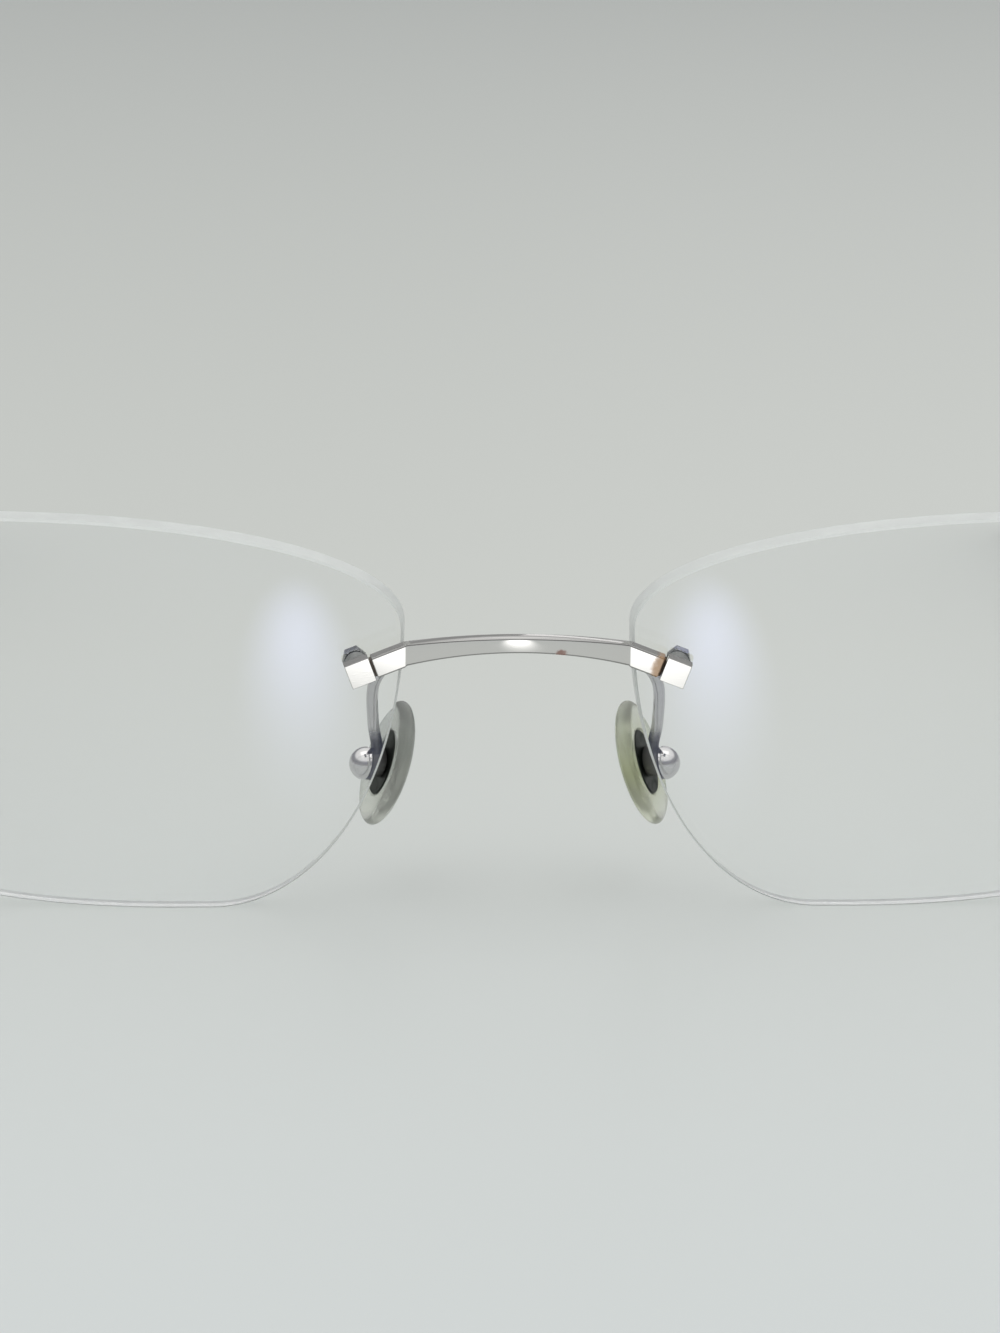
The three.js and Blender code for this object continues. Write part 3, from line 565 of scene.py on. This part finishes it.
def polished_metal(name, stains_and_shade=(), metal_tone=PLATED_METAL):
    """Mirror-polished plated metal, with spots of real stain and of painted shade, each (colour,
    strength, sizes of the stain group).
    """
    material, tree, shader = new_material(name)
    set_shader(shader, {"Metallic": 1.0, "Base Color": metal_tone})
    wear = add_wear(tree, shader, smudge=500.0, fresh=0.05, worn=0.13)
    rough = wear.outputs["Roughness"]
    colour = metal_tone
    for tint, strength, sizes in stains_and_shade:
        spot = add_node(tree, "Group", node_tree=spot_group)
        for label, value in sizes.items():
            spot.inputs[label].default_value = value
        amount = compute(tree, "MULTIPLY", spot.outputs["Mask"], strength, use_clamp=True)
        layer = add_node(tree, "MixRGB", {"Fac": amount, "Color1": colour, "Color2": tint})
        colour = layer.outputs[0]
        rough = compute(tree, "MULTIPLY_ADD", amount, STAIN_DULLING, rough)
    if stains_and_shade:
        tree.links.new(colour, shader.inputs["Base Color"])
        tree.links.new(rough, shader.inputs["Roughness"])
    return material


speck_centre, _, speck_up = arch_at(SPECK_SHARE)
speck = front @ (speck_centre - speck_up * bar_height(SPECK_SHARE) * SPECK_DROP)
joint_stain = front @ nose_frame @ Vector((-bar_shoulder, bar_middle, 0))
groove = front @ nose_frame @ Vector((-bar_shoulder + GROOVE / 2, bar_middle, 0))
left_slope = {"Slope": -NOSE_MOUNT_SLOPE}
right_slope = {"Slope": NOSE_MOUNT_SLOPE}
# Real stains on the bar, a speck and a joint stain, and painted shade in the groove at each end
bar_stains_and_shade = (
    (STAIN_BROWN, 1.0, {"X": speck.x, "Z": speck.z, **SPECK_SIZE}),
    (STAIN_ORANGE, 0.7, {"X": joint_stain.x, "Z": joint_stain.z, **left_slope, **JOINT_STAIN_SIZE}),
    (GROOVE_PAINTED_SHADE, 0.95, {"X": groove.x, "Z": groove.z, **left_slope, **GROOVE_SIZE}),
    (GROOVE_PAINTED_SHADE, 0.95, {"X": -groove.x, "Z": groove.z, **right_slope, **GROOVE_SIZE}),
)
bar_metal = polished_metal("stained_bar_metal", bar_stains_and_shade)
bar_edge_shade = polished_metal("bar_edges_painted_shade", bar_stains_and_shade, ROUNDED_EDGE_SHADE)
bar = add_piece("arched_bridge_bar", bar_mesh(), [bar_metal, bar_edge_shade], sharp=50)
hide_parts("bridge_bar")
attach(bar, "front")

# Lens mounts: a square-headed post through each lens hole, with clear plastic washers on both
# faces, a clear bushing in the hole, and a hexagon nut behind. The head's socket takes the end of
# the bar or of the end piece.
HEAD_EDGE = 0.13 * MM
WASHER_EDGE = 0.04 * MM
NUT_EDGE = 0.1 * MM
EDGE_STEPS = 3
SATIN_STEEL = (0.2, 0.205, 0.21, 1)
WASHER_PLASTIC = (0.72, 0.75, 0.74, 1)
WELD = 0.001 * MM
FLAT_ANGLE = math.radians(1)
SQUARE_ANGLE = math.radians(55)


def eased(node, width, finish=0):
    """A CAD solid with flat facets joined, and square edges rounded over in the given finish."""
    bm = bmesh.new()
    bm.from_mesh(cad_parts[node].data)
    bmesh.ops.remove_doubles(bm, verts=bm.verts, dist=WELD)
    bmesh.ops.dissolve_limit(bm, angle_limit=FLAT_ANGLE, verts=bm.verts, edges=bm.edges)
    square = [edge for edge in bm.edges if edge.calc_face_angle(0) > SQUARE_ANGLE]
    bmesh.ops.bevel(
        bm,
        geom=square,
        offset=width,
        segments=EDGE_STEPS,
        profile=0.5,
        affect="EDGES",
        clamp_overlap=True,
        material=finish,
    )
    bmesh.ops.remove_doubles(bm, verts=bm.verts, dist=WELD)
    return bm


def satin_steel():
    """Turned steel with a fine satin finish."""
    material, tree, shader = new_material("satin_steel")
    set_shader(shader, {"Metallic": 1.0, "Base Color": SATIN_STEEL})
    add_wear(tree, shader, smudge=1500.0, fresh=0.2, worn=0.34, scratch=14000.0)
    return material


def washer_plastic():
    """Clear moulded plastic, a little dull from handling."""
    material, tree, shader = new_material("washer_plastic")
    set_shader(shader, {"Base Color": WASHER_PLASTIC, "IOR": 1.49, "Transmission Weight": 1.0})
    add_wear(tree, shader, smudge=1800.0, fresh=0.12, worn=0.3)
    return material


post_metal = polished_metal("post_metal")
post_edge_shade = polished_metal("post_edges_painted_shade", metal_tone=ROUNDED_EDGE_SHADE)
nut_steel = satin_steel()
clear_plastic = washer_plastic()
# Each post's rounded edges take its second material, a darker painted shade
mount_pieces = (
    ("post", "square_headed_post", HEAD_EDGE, [post_metal, post_edge_shade], "plated_metal"),
    ("front_washer", "front_lens_washer", WASHER_EDGE, [clear_plastic], "clear_plastic"),
    ("bushing", "lens_bushing", WASHER_EDGE, [clear_plastic], "clear_plastic"),
    ("back_washer", "back_lens_washer", WASHER_EDGE, [clear_plastic], "clear_plastic"),
    ("nut", "hexagon_nut", NUT_EDGE, [nut_steel], "steel_hardware"),
)
front_metal = [bar]
for side in SIDES:
    for place in ("bridge", "endpiece"):
        for item, label, width, finishes, slot in mount_pieces:
            node = f"{place}_{item}_{side}"
            solid = eased(node, width, finish=len(finishes) - 1)
            made = add_piece(f"{place}_{label}_{side}", solid, finishes, sharp=50)
            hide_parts(node)
            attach(made, "front")
            if item == "post":
                front_metal.append(made)

# Pad arms: a round wire brazed to the back of the bar, which passes behind the lens and bends down
# to a thick eyelet brazed on. The wire is polished and plated with the bar; its darker tone is
# painted shade, and so is the dark spot round the eyelet.
ARM_RADIUS = 0.48 * MM
ARM_STANDOFF = 1.9 * MM
ARM_FALL = 1.7 * MM
ARM_SWING = 0.13 * MM
ARM_OFFSET = 0.25 * MM
ARM_LEVEL = 0.6
# Each bend has four shares: of the way outward, the mount's slope, the drop and the setback
ARM_BENDS = ((0.2, 0.2, 0, 0), (0.66, 0.72, 0, 0), (0.97, 0, 0.27, 0), (1, 0, 0.66, 0.2))
SEAT_GAP = 0.05 * MM
LENS_EDGE_GAP = 0.4 * MM
EYELET_OUTWARD = 11.81 * MM
EYELET_DROP = 5.7 * MM
EYELET_SETBACK = 1.07 * MM
EYELET_RADIUS = 1.3 * MM
EYELET_THICKNESS = 1.5 * MM
EYELET_EDGE = 0.14 * MM
EYELET_CORNER = 0.3
EYELET_BORE = 0.55 * MM
PAD_LEAN = math.radians(18)
PAD_SPLAY = math.radians(22)
WIRE_SIDES = 20
WIRE_STEPS = 12
ROUND_SIDES = 40
# Painted shade: a dark spot round each eyelet, and a darker tone of the wire's plating
EYELET_PAINTED_SHADE = (0.1, 0.1, 0.1, 1)
EYELET_SHADE_SIZE = {"Width": 3 * MM, "Height": 3.1 * MM, "Ragged": 0.4}
WIRE_PAINTED_SHADE_TONE = (0.56, 0.545, 0.54, 1)

arm_depth = nose_frame.translation.y + LENS_THICKNESS + ARM_STANDOFF
eyelet = Vector((EYELET_OUTWARD, arm_depth + EYELET_SETBACK, -EYELET_DROP))
pad_turn = Matrix.Rotation(-PAD_LEAN, 4, "Y") @ Matrix.Rotation(-PAD_SPLAY, 4, "Z")
pad_frame = Matrix.Translation(eyelet) @ pad_turn


def smooth_route(points, steps):
    """Points on a smooth curve through the given ones, which keeps close to them in tight bends."""
    ends = [2 * points[0] - points[1], *points, 2 * points[-1] - points[-2]]
    route = []
    for before, start, stop, after in zip(ends, ends[1:], ends[2:], ends[3:]):
        spans = ((before, start), (start, stop), (stop, after))
        first, middle, last = (math.sqrt((b - a).length) for a, b in spans)
        leave = (start - before) / first - (stop - before) / (first + middle)
        leave += (stop - start) / middle
        leave *= middle
        reach = (stop - start) / middle - (after - start) / (middle + last)
        reach += (after - stop) / last
        reach *= middle
        for step in range(steps):
            t = step / steps
            curve = 3 * (stop - start) - 2 * leave - reach
            twist = 2 * (start - stop) + leave + reach
            route.append(start + leave * t + curve * t**2 + twist * t**3)
    return [*route, points[-1]]


def tube(route, radius, sides):
    """A round wire along a route, its section carried along without twisting."""
    across = (route[1] - route[0]).orthogonal().normalized()
    rings = []
    for number, point in enumerate(route):
        along = (route[min(number + 1, len(route) - 1)] - route[max(number - 1, 0)]).normalized()
        across = (across - along * across.dot(along)).normalized()
        rings.append(ring_at(point, across, along.cross(across), circle(radius, sides)))
    return loft(rings)


def turned(profile, sides):
    """A ring turned about X from a closed profile of (radius, place along X)."""
    bm = bmesh.new()
    rows = [[bm.verts.new((x, p.x, p.y)) for p in circle(radius, sides)] for radius, x in profile]
    for near, far in zip(rows, rows[1:] + rows[:1]):
        band(bm, near, far)
    bmesh.ops.recalc_face_normals(bm, faces=bm.faces)
    return bm


def fused(*meshes):
    """One solid from meshes that overlap."""
    objects = []
    for bm in meshes:
        mesh = bpy.data.meshes.new("to_fuse")
        bm.to_mesh(mesh)
        bm.free()
        objects.append(bpy.data.objects.new("to_fuse", mesh))
        bpy.context.scene.collection.objects.link(objects[-1])
    for other in objects[1:]:
        union = objects[0].modifiers.new("union", "BOOLEAN")
        union.operation = "UNION"
        union.solver = "EXACT"
        union.object = other
    result = objects[0].evaluated_get(bpy.context.evaluated_depsgraph_get()).to_mesh()
    whole = bmesh.new()
    whole.from_mesh(result)
    for made in objects:
        bpy.data.meshes.remove(made.data)
    return whole


def arm_route():
    """The wire's middle line: back from the bar, out behind the lens, and down to the eyelet."""
    root_x = BRIDGE_GAP / 2 - LENS_EDGE_GAP - ARM_RADIUS
    centre, back, _ = arch_at(root_x / bend_point.x)
    root = centre + back * (BAR_DEPTH / 2 + SEAT_GAP)
    stem, _, pad_up = pad_turn.to_3x3().col
    joint = eyelet + stem * ARM_OFFSET
    top = joint + pad_up * (EYELET_RADIUS - ARM_RADIUS / 2)
    neck = joint + pad_up * (EYELET_RADIUS + ARM_RADIUS / 2)
    run = arm_depth - root.y
    outward = top.x + ARM_SWING - root_x
    behind = root.z - ARM_FALL
    drop = behind - top.z
    follow = outward * math.tan(NOSE_MOUNT_SLOPE)
    points = [
        root,
        root + back * ARM_RADIUS,
        Vector((root_x, root.y + ARM_LEVEL * run, root.z - ARM_LEVEL * ARM_FALL)),
    ]
    for out, slope, down, setback in ARM_BENDS:
        depth = arm_depth + setback * EYELET_SETBACK
        height = behind - slope * follow - down * drop
        points.append(Vector((root_x + out * outward, depth, height)))
    return smooth_route([*points, neck, top], WIRE_STEPS)


def eyelet_mesh():
    """A thick ring with rounded edges, which the stem of the pad plate passes through."""
    half = EYELET_THICKNESS / 2
    inset = EYELET_EDGE
    short = EYELET_CORNER * inset
    profile = (
        (EYELET_BORE, -half),
        (EYELET_RADIUS - inset, -half),
        (EYELET_RADIUS - short, short - half),
        (EYELET_RADIUS, inset - half),
        (EYELET_RADIUS, half - inset),
        (EYELET_RADIUS - short, half - short),
        (EYELET_RADIUS - inset, half),
        (EYELET_BORE, half),
    )
    ring = turned(profile, ROUND_SIDES)
    ring.transform(pad_frame)
    return ring


eyelet_place = front @ eyelet
eyelet_shade_height = {"Z": eyelet_place.z + EYELET_RADIUS / 2}
arm_metal = polished_metal(
    "arm_metal",
    (
        (EYELET_PAINTED_SHADE, 0.9, {"X": eyelet_place.x, **eyelet_shade_height, **EYELET_SHADE_SIZE}),
        (EYELET_PAINTED_SHADE, 0.9, {"X": -eyelet_place.x, **eyelet_shade_height, **EYELET_SHADE_SIZE}),
    ),
    WIRE_PAINTED_SHADE_TONE,
)
for side in SIDES:
    wire = fused(tube(arm_route(), ARM_RADIUS, WIRE_SIDES), eyelet_mesh())
    wire.transform(front)
    arm = add_piece(f"wire_pad_arm_{side}", wire, [arm_metal], side, sharp=40)
    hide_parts(f"pad_arm_{side}")
    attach(arm, "front")

# Pad plates: a dark oval metal insert moulded into each nose pad, with a stem that passes through
# the eyelet. A domed ball nut, polished like the bar, is screwed on the stem's outer end.
PLATE_LENGTH = 5.8 * MM
PLATE_WIDTH = 3.4 * MM
PLATE_THICKNESS = 0.6 * MM
PLATE_EDGE = 0.12 * MM
SIDE_GAP = 0.1 * MM
STEM_RADIUS = 0.5 * MM
STEM_LENGTH = 2.55 * MM
BALL_RADIUS = 1.4 * MM
BALL_HEIGHT = 1.25 * MM
BALL_STEPS = 20
INSERT_METAL = (0.018, 0.022, 0.018, 1)
# The ball nut's plating is a darker tone than the bar's, as painted shade
BALL_PAINTED_SHADE_TONE = (0.62, 0.605, 0.6, 1)
plate_face = -(EYELET_THICKNESS / 2 + SIDE_GAP)
ball_face = EYELET_THICKNESS / 2 + SIDE_GAP


def oval_ring(x, length, width, sides=ROUND_SIDES):
    """An oval in a plane across X, long upward."""
    return [Vector((x, point.x * width / 2, point.y * length / 2)) for point in circle(1, sides)]


def round_ring(x, radius):
    return oval_ring(x, 2 * radius, 2 * radius)


def plate_mesh():
    """An oval plate, and the stem that rises from its outer face."""
    far = plate_face - PLATE_THICKNESS
    eased_oval = (PLATE_LENGTH - 2 * PLATE_EDGE, PLATE_WIDTH - 2 * PLATE_EDGE)
    rings = [
        oval_ring(far, *eased_oval),
        oval_ring(far + PLATE_EDGE, PLATE_LENGTH, PLATE_WIDTH),
        oval_ring(plate_face - PLATE_EDGE, PLATE_LENGTH, PLATE_WIDTH),
        oval_ring(plate_face, *eased_oval),
        round_ring(plate_face, STEM_RADIUS + PLATE_EDGE),
        round_ring(plate_face + PLATE_EDGE, STEM_RADIUS),
        round_ring(plate_face + STEM_LENGTH, STEM_RADIUS),
    ]
    return loft(rings)


def ball_mesh():
    """A domed end of a ball, flat where it faces the eyelet."""
    middle = BALL_HEIGHT - BALL_RADIUS
    start = math.acos(-middle / BALL_RADIUS)
    rings = [round_ring(ball_face, STEM_RADIUS)]
    for step in range(BALL_STEPS):
        angle = start * (1 - step / BALL_STEPS)
        place = ball_face + middle + BALL_RADIUS * math.cos(angle)
        rings.append(round_ring(place, BALL_RADIUS * math.sin(angle)))
    return loft(rings)


def insert_metal():
    """Dark oxidised metal with a low sheen."""
    material, tree, shader = new_material("insert_metal")
    set_shader(shader, {"Base Color": INSERT_METAL, "Metallic": 0.6})
    add_wear(tree, shader, smudge=1200.0, fresh=0.28, worn=0.5, scratch=12000.0)
    return material


ball_metal = polished_metal("ball_metal", metal_tone=BALL_PAINTED_SHADE_TONE)
plate_metal = insert_metal()
for side in SIDES:
    parts = (
        ("pad_plate", "dark_pad_insert", plate_mesh(), plate_metal, "pad_insert"),
        ("pad_ball", "domed_ball_nut", ball_mesh(), ball_metal, "plated_metal"),
    )
    for node, label, bm, material, slot in parts:
        bm.transform(front @ pad_frame)
        made = add_piece(f"{label}_{side}", bm, [material], side)
        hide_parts(f"{node}_{side}")
        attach(made, f"pad_{side}")

# Nose pads: translucent silicone moulded round the plates, crowned towards the nose. One has stayed
# grey, and the other has yellowed with age from its middle outward.
PAD_LENGTH = 11.1 * MM
PAD_WIDTH = 7 * MM
PAD_THICKNESS = 1.7 * MM
PAD_TUCK = math.radians(24)
PAD_LIP = 0.25 * MM
FIT_GAP = 0.05 * MM
PAD_ROWS = 18
PAD_SIDES = 56
PAD_IOR = 1.41
PAD_LOW = (0.98, 0.99, 0.93, 1)
PAD_AGED = {"left": (0.66, 0.69, 0.47, 1), "right": (0.68, 0.69, 0.66, 1)}
PAD_TOP = {"left": (0.96, 0.97, 0.93, 1), "right": (0.82, 0.83, 0.81, 1)}
LOW_HEIGHT = 0.06
AGED_HEIGHT = {"left": 0.46, "right": 0.6}
TOP_HEIGHT = 0.94
PAD_PATCHES = 0.2
PAD_DEPTH_TINT = {"left": (0.62, 0.66, 0.42, 1), "right": (0.6, 0.62, 0.58, 1)}
PAD_DENSITY = {"left": 62.0, "right": 215.0}


def pad_mesh():
    """A shallow oval dome, with a pocket for the plate in its outer side."""
    pocket = (PLATE_LENGTH + 2 * FIT_GAP, PLATE_WIDTH + 2 * FIT_GAP)
    floor_x = plate_face - PLATE_THICKNESS - FIT_GAP
    rings = [
        oval_ring(floor_x, *pocket, PAD_SIDES),
        oval_ring(plate_face - PAD_LIP, *pocket, PAD_SIDES),
        oval_ring(plate_face, pocket[0] + PAD_LIP, pocket[1] + PAD_LIP, PAD_SIDES),
    ]
    for row in range(PAD_ROWS):
        angle = row / PAD_ROWS * (math.pi / 2 + PAD_TUCK) - PAD_TUCK
        size = math.cos(angle)
        rise = (math.sin(angle) + math.sin(PAD_TUCK)) / (1 + math.sin(PAD_TUCK))
        place = plate_face - PAD_THICKNESS * rise
        rings.append(oval_ring(place, PAD_LENGTH * size, PAD_WIDTH * size, PAD_SIDES))
    return loft(rings)


def pad_silicone(side):
    """Soft clear silicone that darkens where it is thick, and has aged most in its middle."""
    material, tree, shader = new_material(f"pad_silicone_{side}")
    set_shader(shader, {"IOR": PAD_IOR, "Transmission Weight": 0.82})
    add_wear(tree, shader, smudge=420.0, fresh=0.12, worn=0.22, scratch=7000.0, depth=0.0003 * MM)
    place = add_node(tree, "TexCoord").outputs["Object"]
    cloud = add_node(tree, "TexNoise", {"Vector": place, "Scale": 260.0, "Detail": 3.0})
    low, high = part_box(f"nose_pad_{side}")
    limits = {"From Min": low.z, "From Max": high.z}
    share = add_node(tree, "MapRange", {"Value": coordinate(tree, "Z"), **limits})
    patchy = compute(tree, "MULTIPLY_ADD", cloud.outputs["Fac"], PAD_PATCHES, share.outputs[0])
    shifted = compute(tree, "SUBTRACT", patchy, PAD_PATCHES / 2)
    tones = (
        (LOW_HEIGHT, PAD_LOW),
        (AGED_HEIGHT[side], PAD_AGED[side]),
        (TOP_HEIGHT, PAD_TOP[side]),
    )
    tree.links.new(toned(tree, shifted, tones), shader.inputs["Base Color"])
    absorbed = {"Color": PAD_DEPTH_TINT[side], "Density": PAD_DENSITY[side]}
    depth = add_node(tree, "VolumeAbsorption", absorbed)
    tree.links.new(depth.outputs[0], tree.nodes["Material Output"].inputs["Volume"])
    return material


for side in SIDES:
    silicone = pad_mesh()
    silicone.transform(front @ pad_frame)
    finish = [pad_silicone(side)]
    pad = add_piece(f"silicone_nose_pad_{side}", silicone, finish, side, sharp=60, flats=False)
    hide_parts(f"nose_pad_{side}")
    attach(pad, f"pad_{side}")

# End pieces: a plated strip from each outer post, bent back round the lens edge to two hinge
# knuckles. A slotted steel screw passes down through the knuckles.
END_EDGE = 0.08 * MM
SCREW_EDGE = 0.05 * MM
end_metal = polished_metal("end_metal")
screw_steel = satin_steel()
for side in SIDES:
    hinge_pieces = (
        ("endpiece", "bent_end_piece", END_EDGE, end_metal, "plated_metal"),
        ("hinge_screw", "slotted_hinge_screw", SCREW_EDGE, screw_steel, "steel_hardware"),
    )
    for node, label, width, material, slot in hinge_pieces:
        made = add_piece(f"{label}_{side}", eased(f"{node}_{side}", width), [material], sharp=60)
        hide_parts(f"{node}_{side}")
        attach(made, "front")

# Temples: a flat plated bar that tapers back from the middle knuckle of the hinge and ends in a
# round core wire inside the tip.
TEMPLE_EDGE = 0.08 * MM
temple_metal = polished_metal("temple_metal")
for side in SIDES:
    tapered = eased(f"temple_{side}", TEMPLE_EDGE)
    temple = add_piece(f"tapered_temple_{side}", tapered, [temple_metal], sharp=60)
    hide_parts(f"temple_{side}")
    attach(temple, f"temple_{side}")

# Temple tips: smoke-grey acetate sleeves, heated and pushed on the core wires, then bent behind the
# ear. They are tumbled to a gloss and have a small flat where they stand.
TIP_EDGE = 0.1 * MM
TIP_TONES = ((0.45, (0.028, 0.03, 0.033, 1)), (0.75, (0.075, 0.078, 0.082, 1)))


def smoke_acetate():
    """Dark acetate with faint lighter streaks along its length."""
    material, tree, shader = new_material("smoke_acetate")
    set_shader(shader, {"IOR": 1.48, "Coat Weight": 0.4, "Coat Roughness": 0.05})
    add_wear(tree, shader, smudge=300.0, fresh=0.12, worn=0.28, scratch=6000.0)
    place = add_node(tree, "TexCoord").outputs["Object"]
    drawn = add_node(tree, "Mapping", {"Vector": place, "Scale": (1.0, 0.18, 1.0)})
    streaks = {"Scale": 900.0, "Detail": 3.0, "Distortion": 0.6}
    streak = add_node(tree, "TexNoise", {"Vector": drawn.outputs[0], **streaks})
    tip_tone = toned(tree, streak.outputs["Fac"], TIP_TONES)
    tree.links.new(tip_tone, shader.inputs["Base Color"])
    return material


acetate = smoke_acetate()
for side in SIDES:
    sleeve = eased(f"temple_tip_{side}", TIP_EDGE)
    tip = add_piece(f"acetate_tip_{side}", sleeve, [acetate], sharp=60, flats=False)
    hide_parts(f"temple_tip_{side}")
    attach(tip, f"temple_{side}")

# Stage: a pale floor, painted lighter in front and darker behind as light falls off, in a room that
# brightens overhead, a soft lamp above, a panel behind on the right, and low strips of light on the
# floor in front, which the metal faces and the lens coating pick up.
FLOOR_REACH = 14.0
# The floor is painted lighter in front and darker behind, a painted falloff of light
FLOOR_PAINTED_FALLOFF = (
    (-0.22, (0.615, 0.648, 0.65, 1)),
    (0.02, (0.572, 0.587, 0.558, 1)),
    (0.8, (0.385, 0.4, 0.388, 1)),
)
ROOM_TONES = (
    (0.04, (0.5, 0.51, 0.505, 1)),
    (0.2, (0.31, 0.315, 0.315, 1)),
    (0.38, (0.31, 0.315, 0.315, 1)),
    (0.58, (1.0, 1.01, 1.01, 1)),
    (0.95, (1.2, 1.21, 1.21, 1)),
)
STRIP_HEIGHT = 1 * MM
STRIP_MIDDLE = (0.5, 0.5, 0)
STRIP_REACH = 0.5

floor_mesh = bpy.data.meshes.new("pale_floor")
corners = [(x * FLOOR_REACH, y * FLOOR_REACH, 0) for x, y in ((-1, -1), (1, -1), (1, 1), (-1, 1))]
floor_mesh.from_pydata(corners, [], [(0, 1, 2, 3)])
floor = bpy.data.objects.new("pale_floor", floor_mesh)
bpy.context.scene.collection.objects.link(floor)
floor_material, floor_tree, floor_shader = new_material("pale_floor")
set_shader(floor_shader, {"Roughness": 0.45, "Specular IOR Level": 0.3})
floor_painted_falloff = toned(floor_tree, coordinate(floor_tree, "Y"), FLOOR_PAINTED_FALLOFF)
floor_tree.links.new(floor_painted_falloff, floor_shader.inputs["Base Color"])
floor_mesh.materials.append(floor_material)

world = bpy.data.worlds.new("soft_room")
world.use_nodes = True
room = world.node_tree
room_tone = toned(room, coordinate(room, "Z", "Generated"), ROOM_TONES)
room.links.new(room_tone, room.nodes["Background"].inputs["Color"])
bpy.context.scene.world = world


def add_light(name, place, target, size, radiance):
    """A soft rectangular lamp that isn't seen itself, not through a lens either."""
    data = bpy.data.lights.new(name, "AREA")
    data.shape = "RECTANGLE"
    data.size, data.size_y = size
    data.energy = radiance * math.pi * size[0] * size[1]
    lamp = bpy.data.objects.new(name, data)
    lamp.location = place
    lamp.rotation_euler = (Vector(target) - Vector(place)).to_track_quat("-Z", "Y").to_euler()
    lamp.visible_camera = False
    lamp.visible_transmission = False
    bpy.context.scene.collection.objects.link(lamp)
    return lamp


def add_floor_strip(name, start, stop, width, radiance, receivers):
    """A soft-edged strip of light lying on the floor, which only the given pieces mirror."""
    middle = (Vector(start) + Vector(stop)) / 2
    run = Vector(stop) - Vector(start)
    lamp = add_light(name, (*middle, STRIP_HEIGHT), (*middle, 1), (width, run.length), radiance)
    lamp.rotation_euler = (math.pi, 0, math.atan2(run.x, -run.y))
    lamp.visible_diffuse = False
    lamp.data.use_nodes = True
    tree = lamp.data.node_tree
    place = add_node(tree, "NewGeometry").outputs["Parametric"]
    spread = add_node(tree, "VectorMath", {0: place, 1: STRIP_MIDDLE}, operation="DISTANCE")
    fade = add_node(
        tree,
        "MapRange",
        {"Value": spread.outputs["Value"], "From Max": STRIP_REACH, "To Min": 1.0, "To Max": 0.0},
        interpolation_type="SMOOTHSTEP",
    )
    tree.links.new(fade.outputs[0], tree.nodes["Emission"].inputs["Strength"])
    lit = bpy.data.collections.new(name)
    for piece in receivers:
        lit.objects.link(piece)
    lamp.light_linking.receiver_collection = lit


add_light(
    "overhead_softbox",
    place=(0, -0.4, 1.8),
    target=(0, -0.4, 0),
    size=(2.0, 2.0),
    radiance=0.5,
)
add_light(
    "right_back_panel",
    place=(0.237, 1.046, 0.391),
    target=(0, 0, 0.02),
    size=(0.38, 0.2),
    radiance=0.65,
)
add_floor_strip(
    "metal_strip",
    start=(0.0024, -0.09),
    stop=(0.0024, -0.25),
    width=0.027,
    radiance=2.5,
    receivers=front_metal,
)
for side, mirror in (("left", 1), ("right", -1)):
    add_floor_strip(
        f"lens_strip_{side}",
        start=(mirror * 0.0165, -0.07),
        stop=(mirror * -0.002, -0.205),
        width=0.024,
        radiance=6.0,
        receivers=[lenses[side]],
    )

# Camera: in front and above, aimed so that the middle of the bridge falls where the picture has it.
PICTURE = (1000, 1333)
FOCAL_PIXELS = 4065.5
BRIDGE_PIXEL = (517.25, 722)
CAMERA_DISTANCE = 330 * MM
CAMERA_PITCH = math.radians(16)
CAMERA_YAW = math.radians(2.03)
CAMERA_ROLL = math.radians(0.47)
SENSOR = 36
CLIP_START = 10 * MM
forward = Vector((math.sin(CAMERA_YAW), math.cos(CAMERA_YAW), 0)) * math.cos(CAMERA_PITCH)
forward.z = -math.sin(CAMERA_PITCH)
level = forward.cross(UP).normalized()
upright = level.cross(forward)
right = level * math.cos(CAMERA_ROLL) + upright * math.sin(CAMERA_ROLL)
top = upright * math.cos(CAMERA_ROLL) - level * math.sin(CAMERA_ROLL)
aim = forward - right * (BRIDGE_PIXEL[0] - PICTURE[0] / 2) / FOCAL_PIXELS
aim += top * (BRIDGE_PIXEL[1] - PICTURE[1] / 2) / FOCAL_PIXELS
aim.normalize()
across = aim.cross(top).normalized()
camera_data = bpy.data.cameras.new("camera")
camera_data.sensor_width = SENSOR
camera_data.lens = SENSOR * FOCAL_PIXELS / max(PICTURE)
camera_data.clip_start = CLIP_START
camera = bpy.data.objects.new("camera", camera_data)
turn = Matrix((across, across.cross(aim), -aim)).transposed().to_4x4()
camera.matrix_world = Matrix.Translation(front.translation - forward * CAMERA_DISTANCE) @ turn
bpy.context.scene.collection.objects.link(camera)
bpy.context.scene.camera = camera
bpy.context.scene.view_settings.view_transform = "Standard"
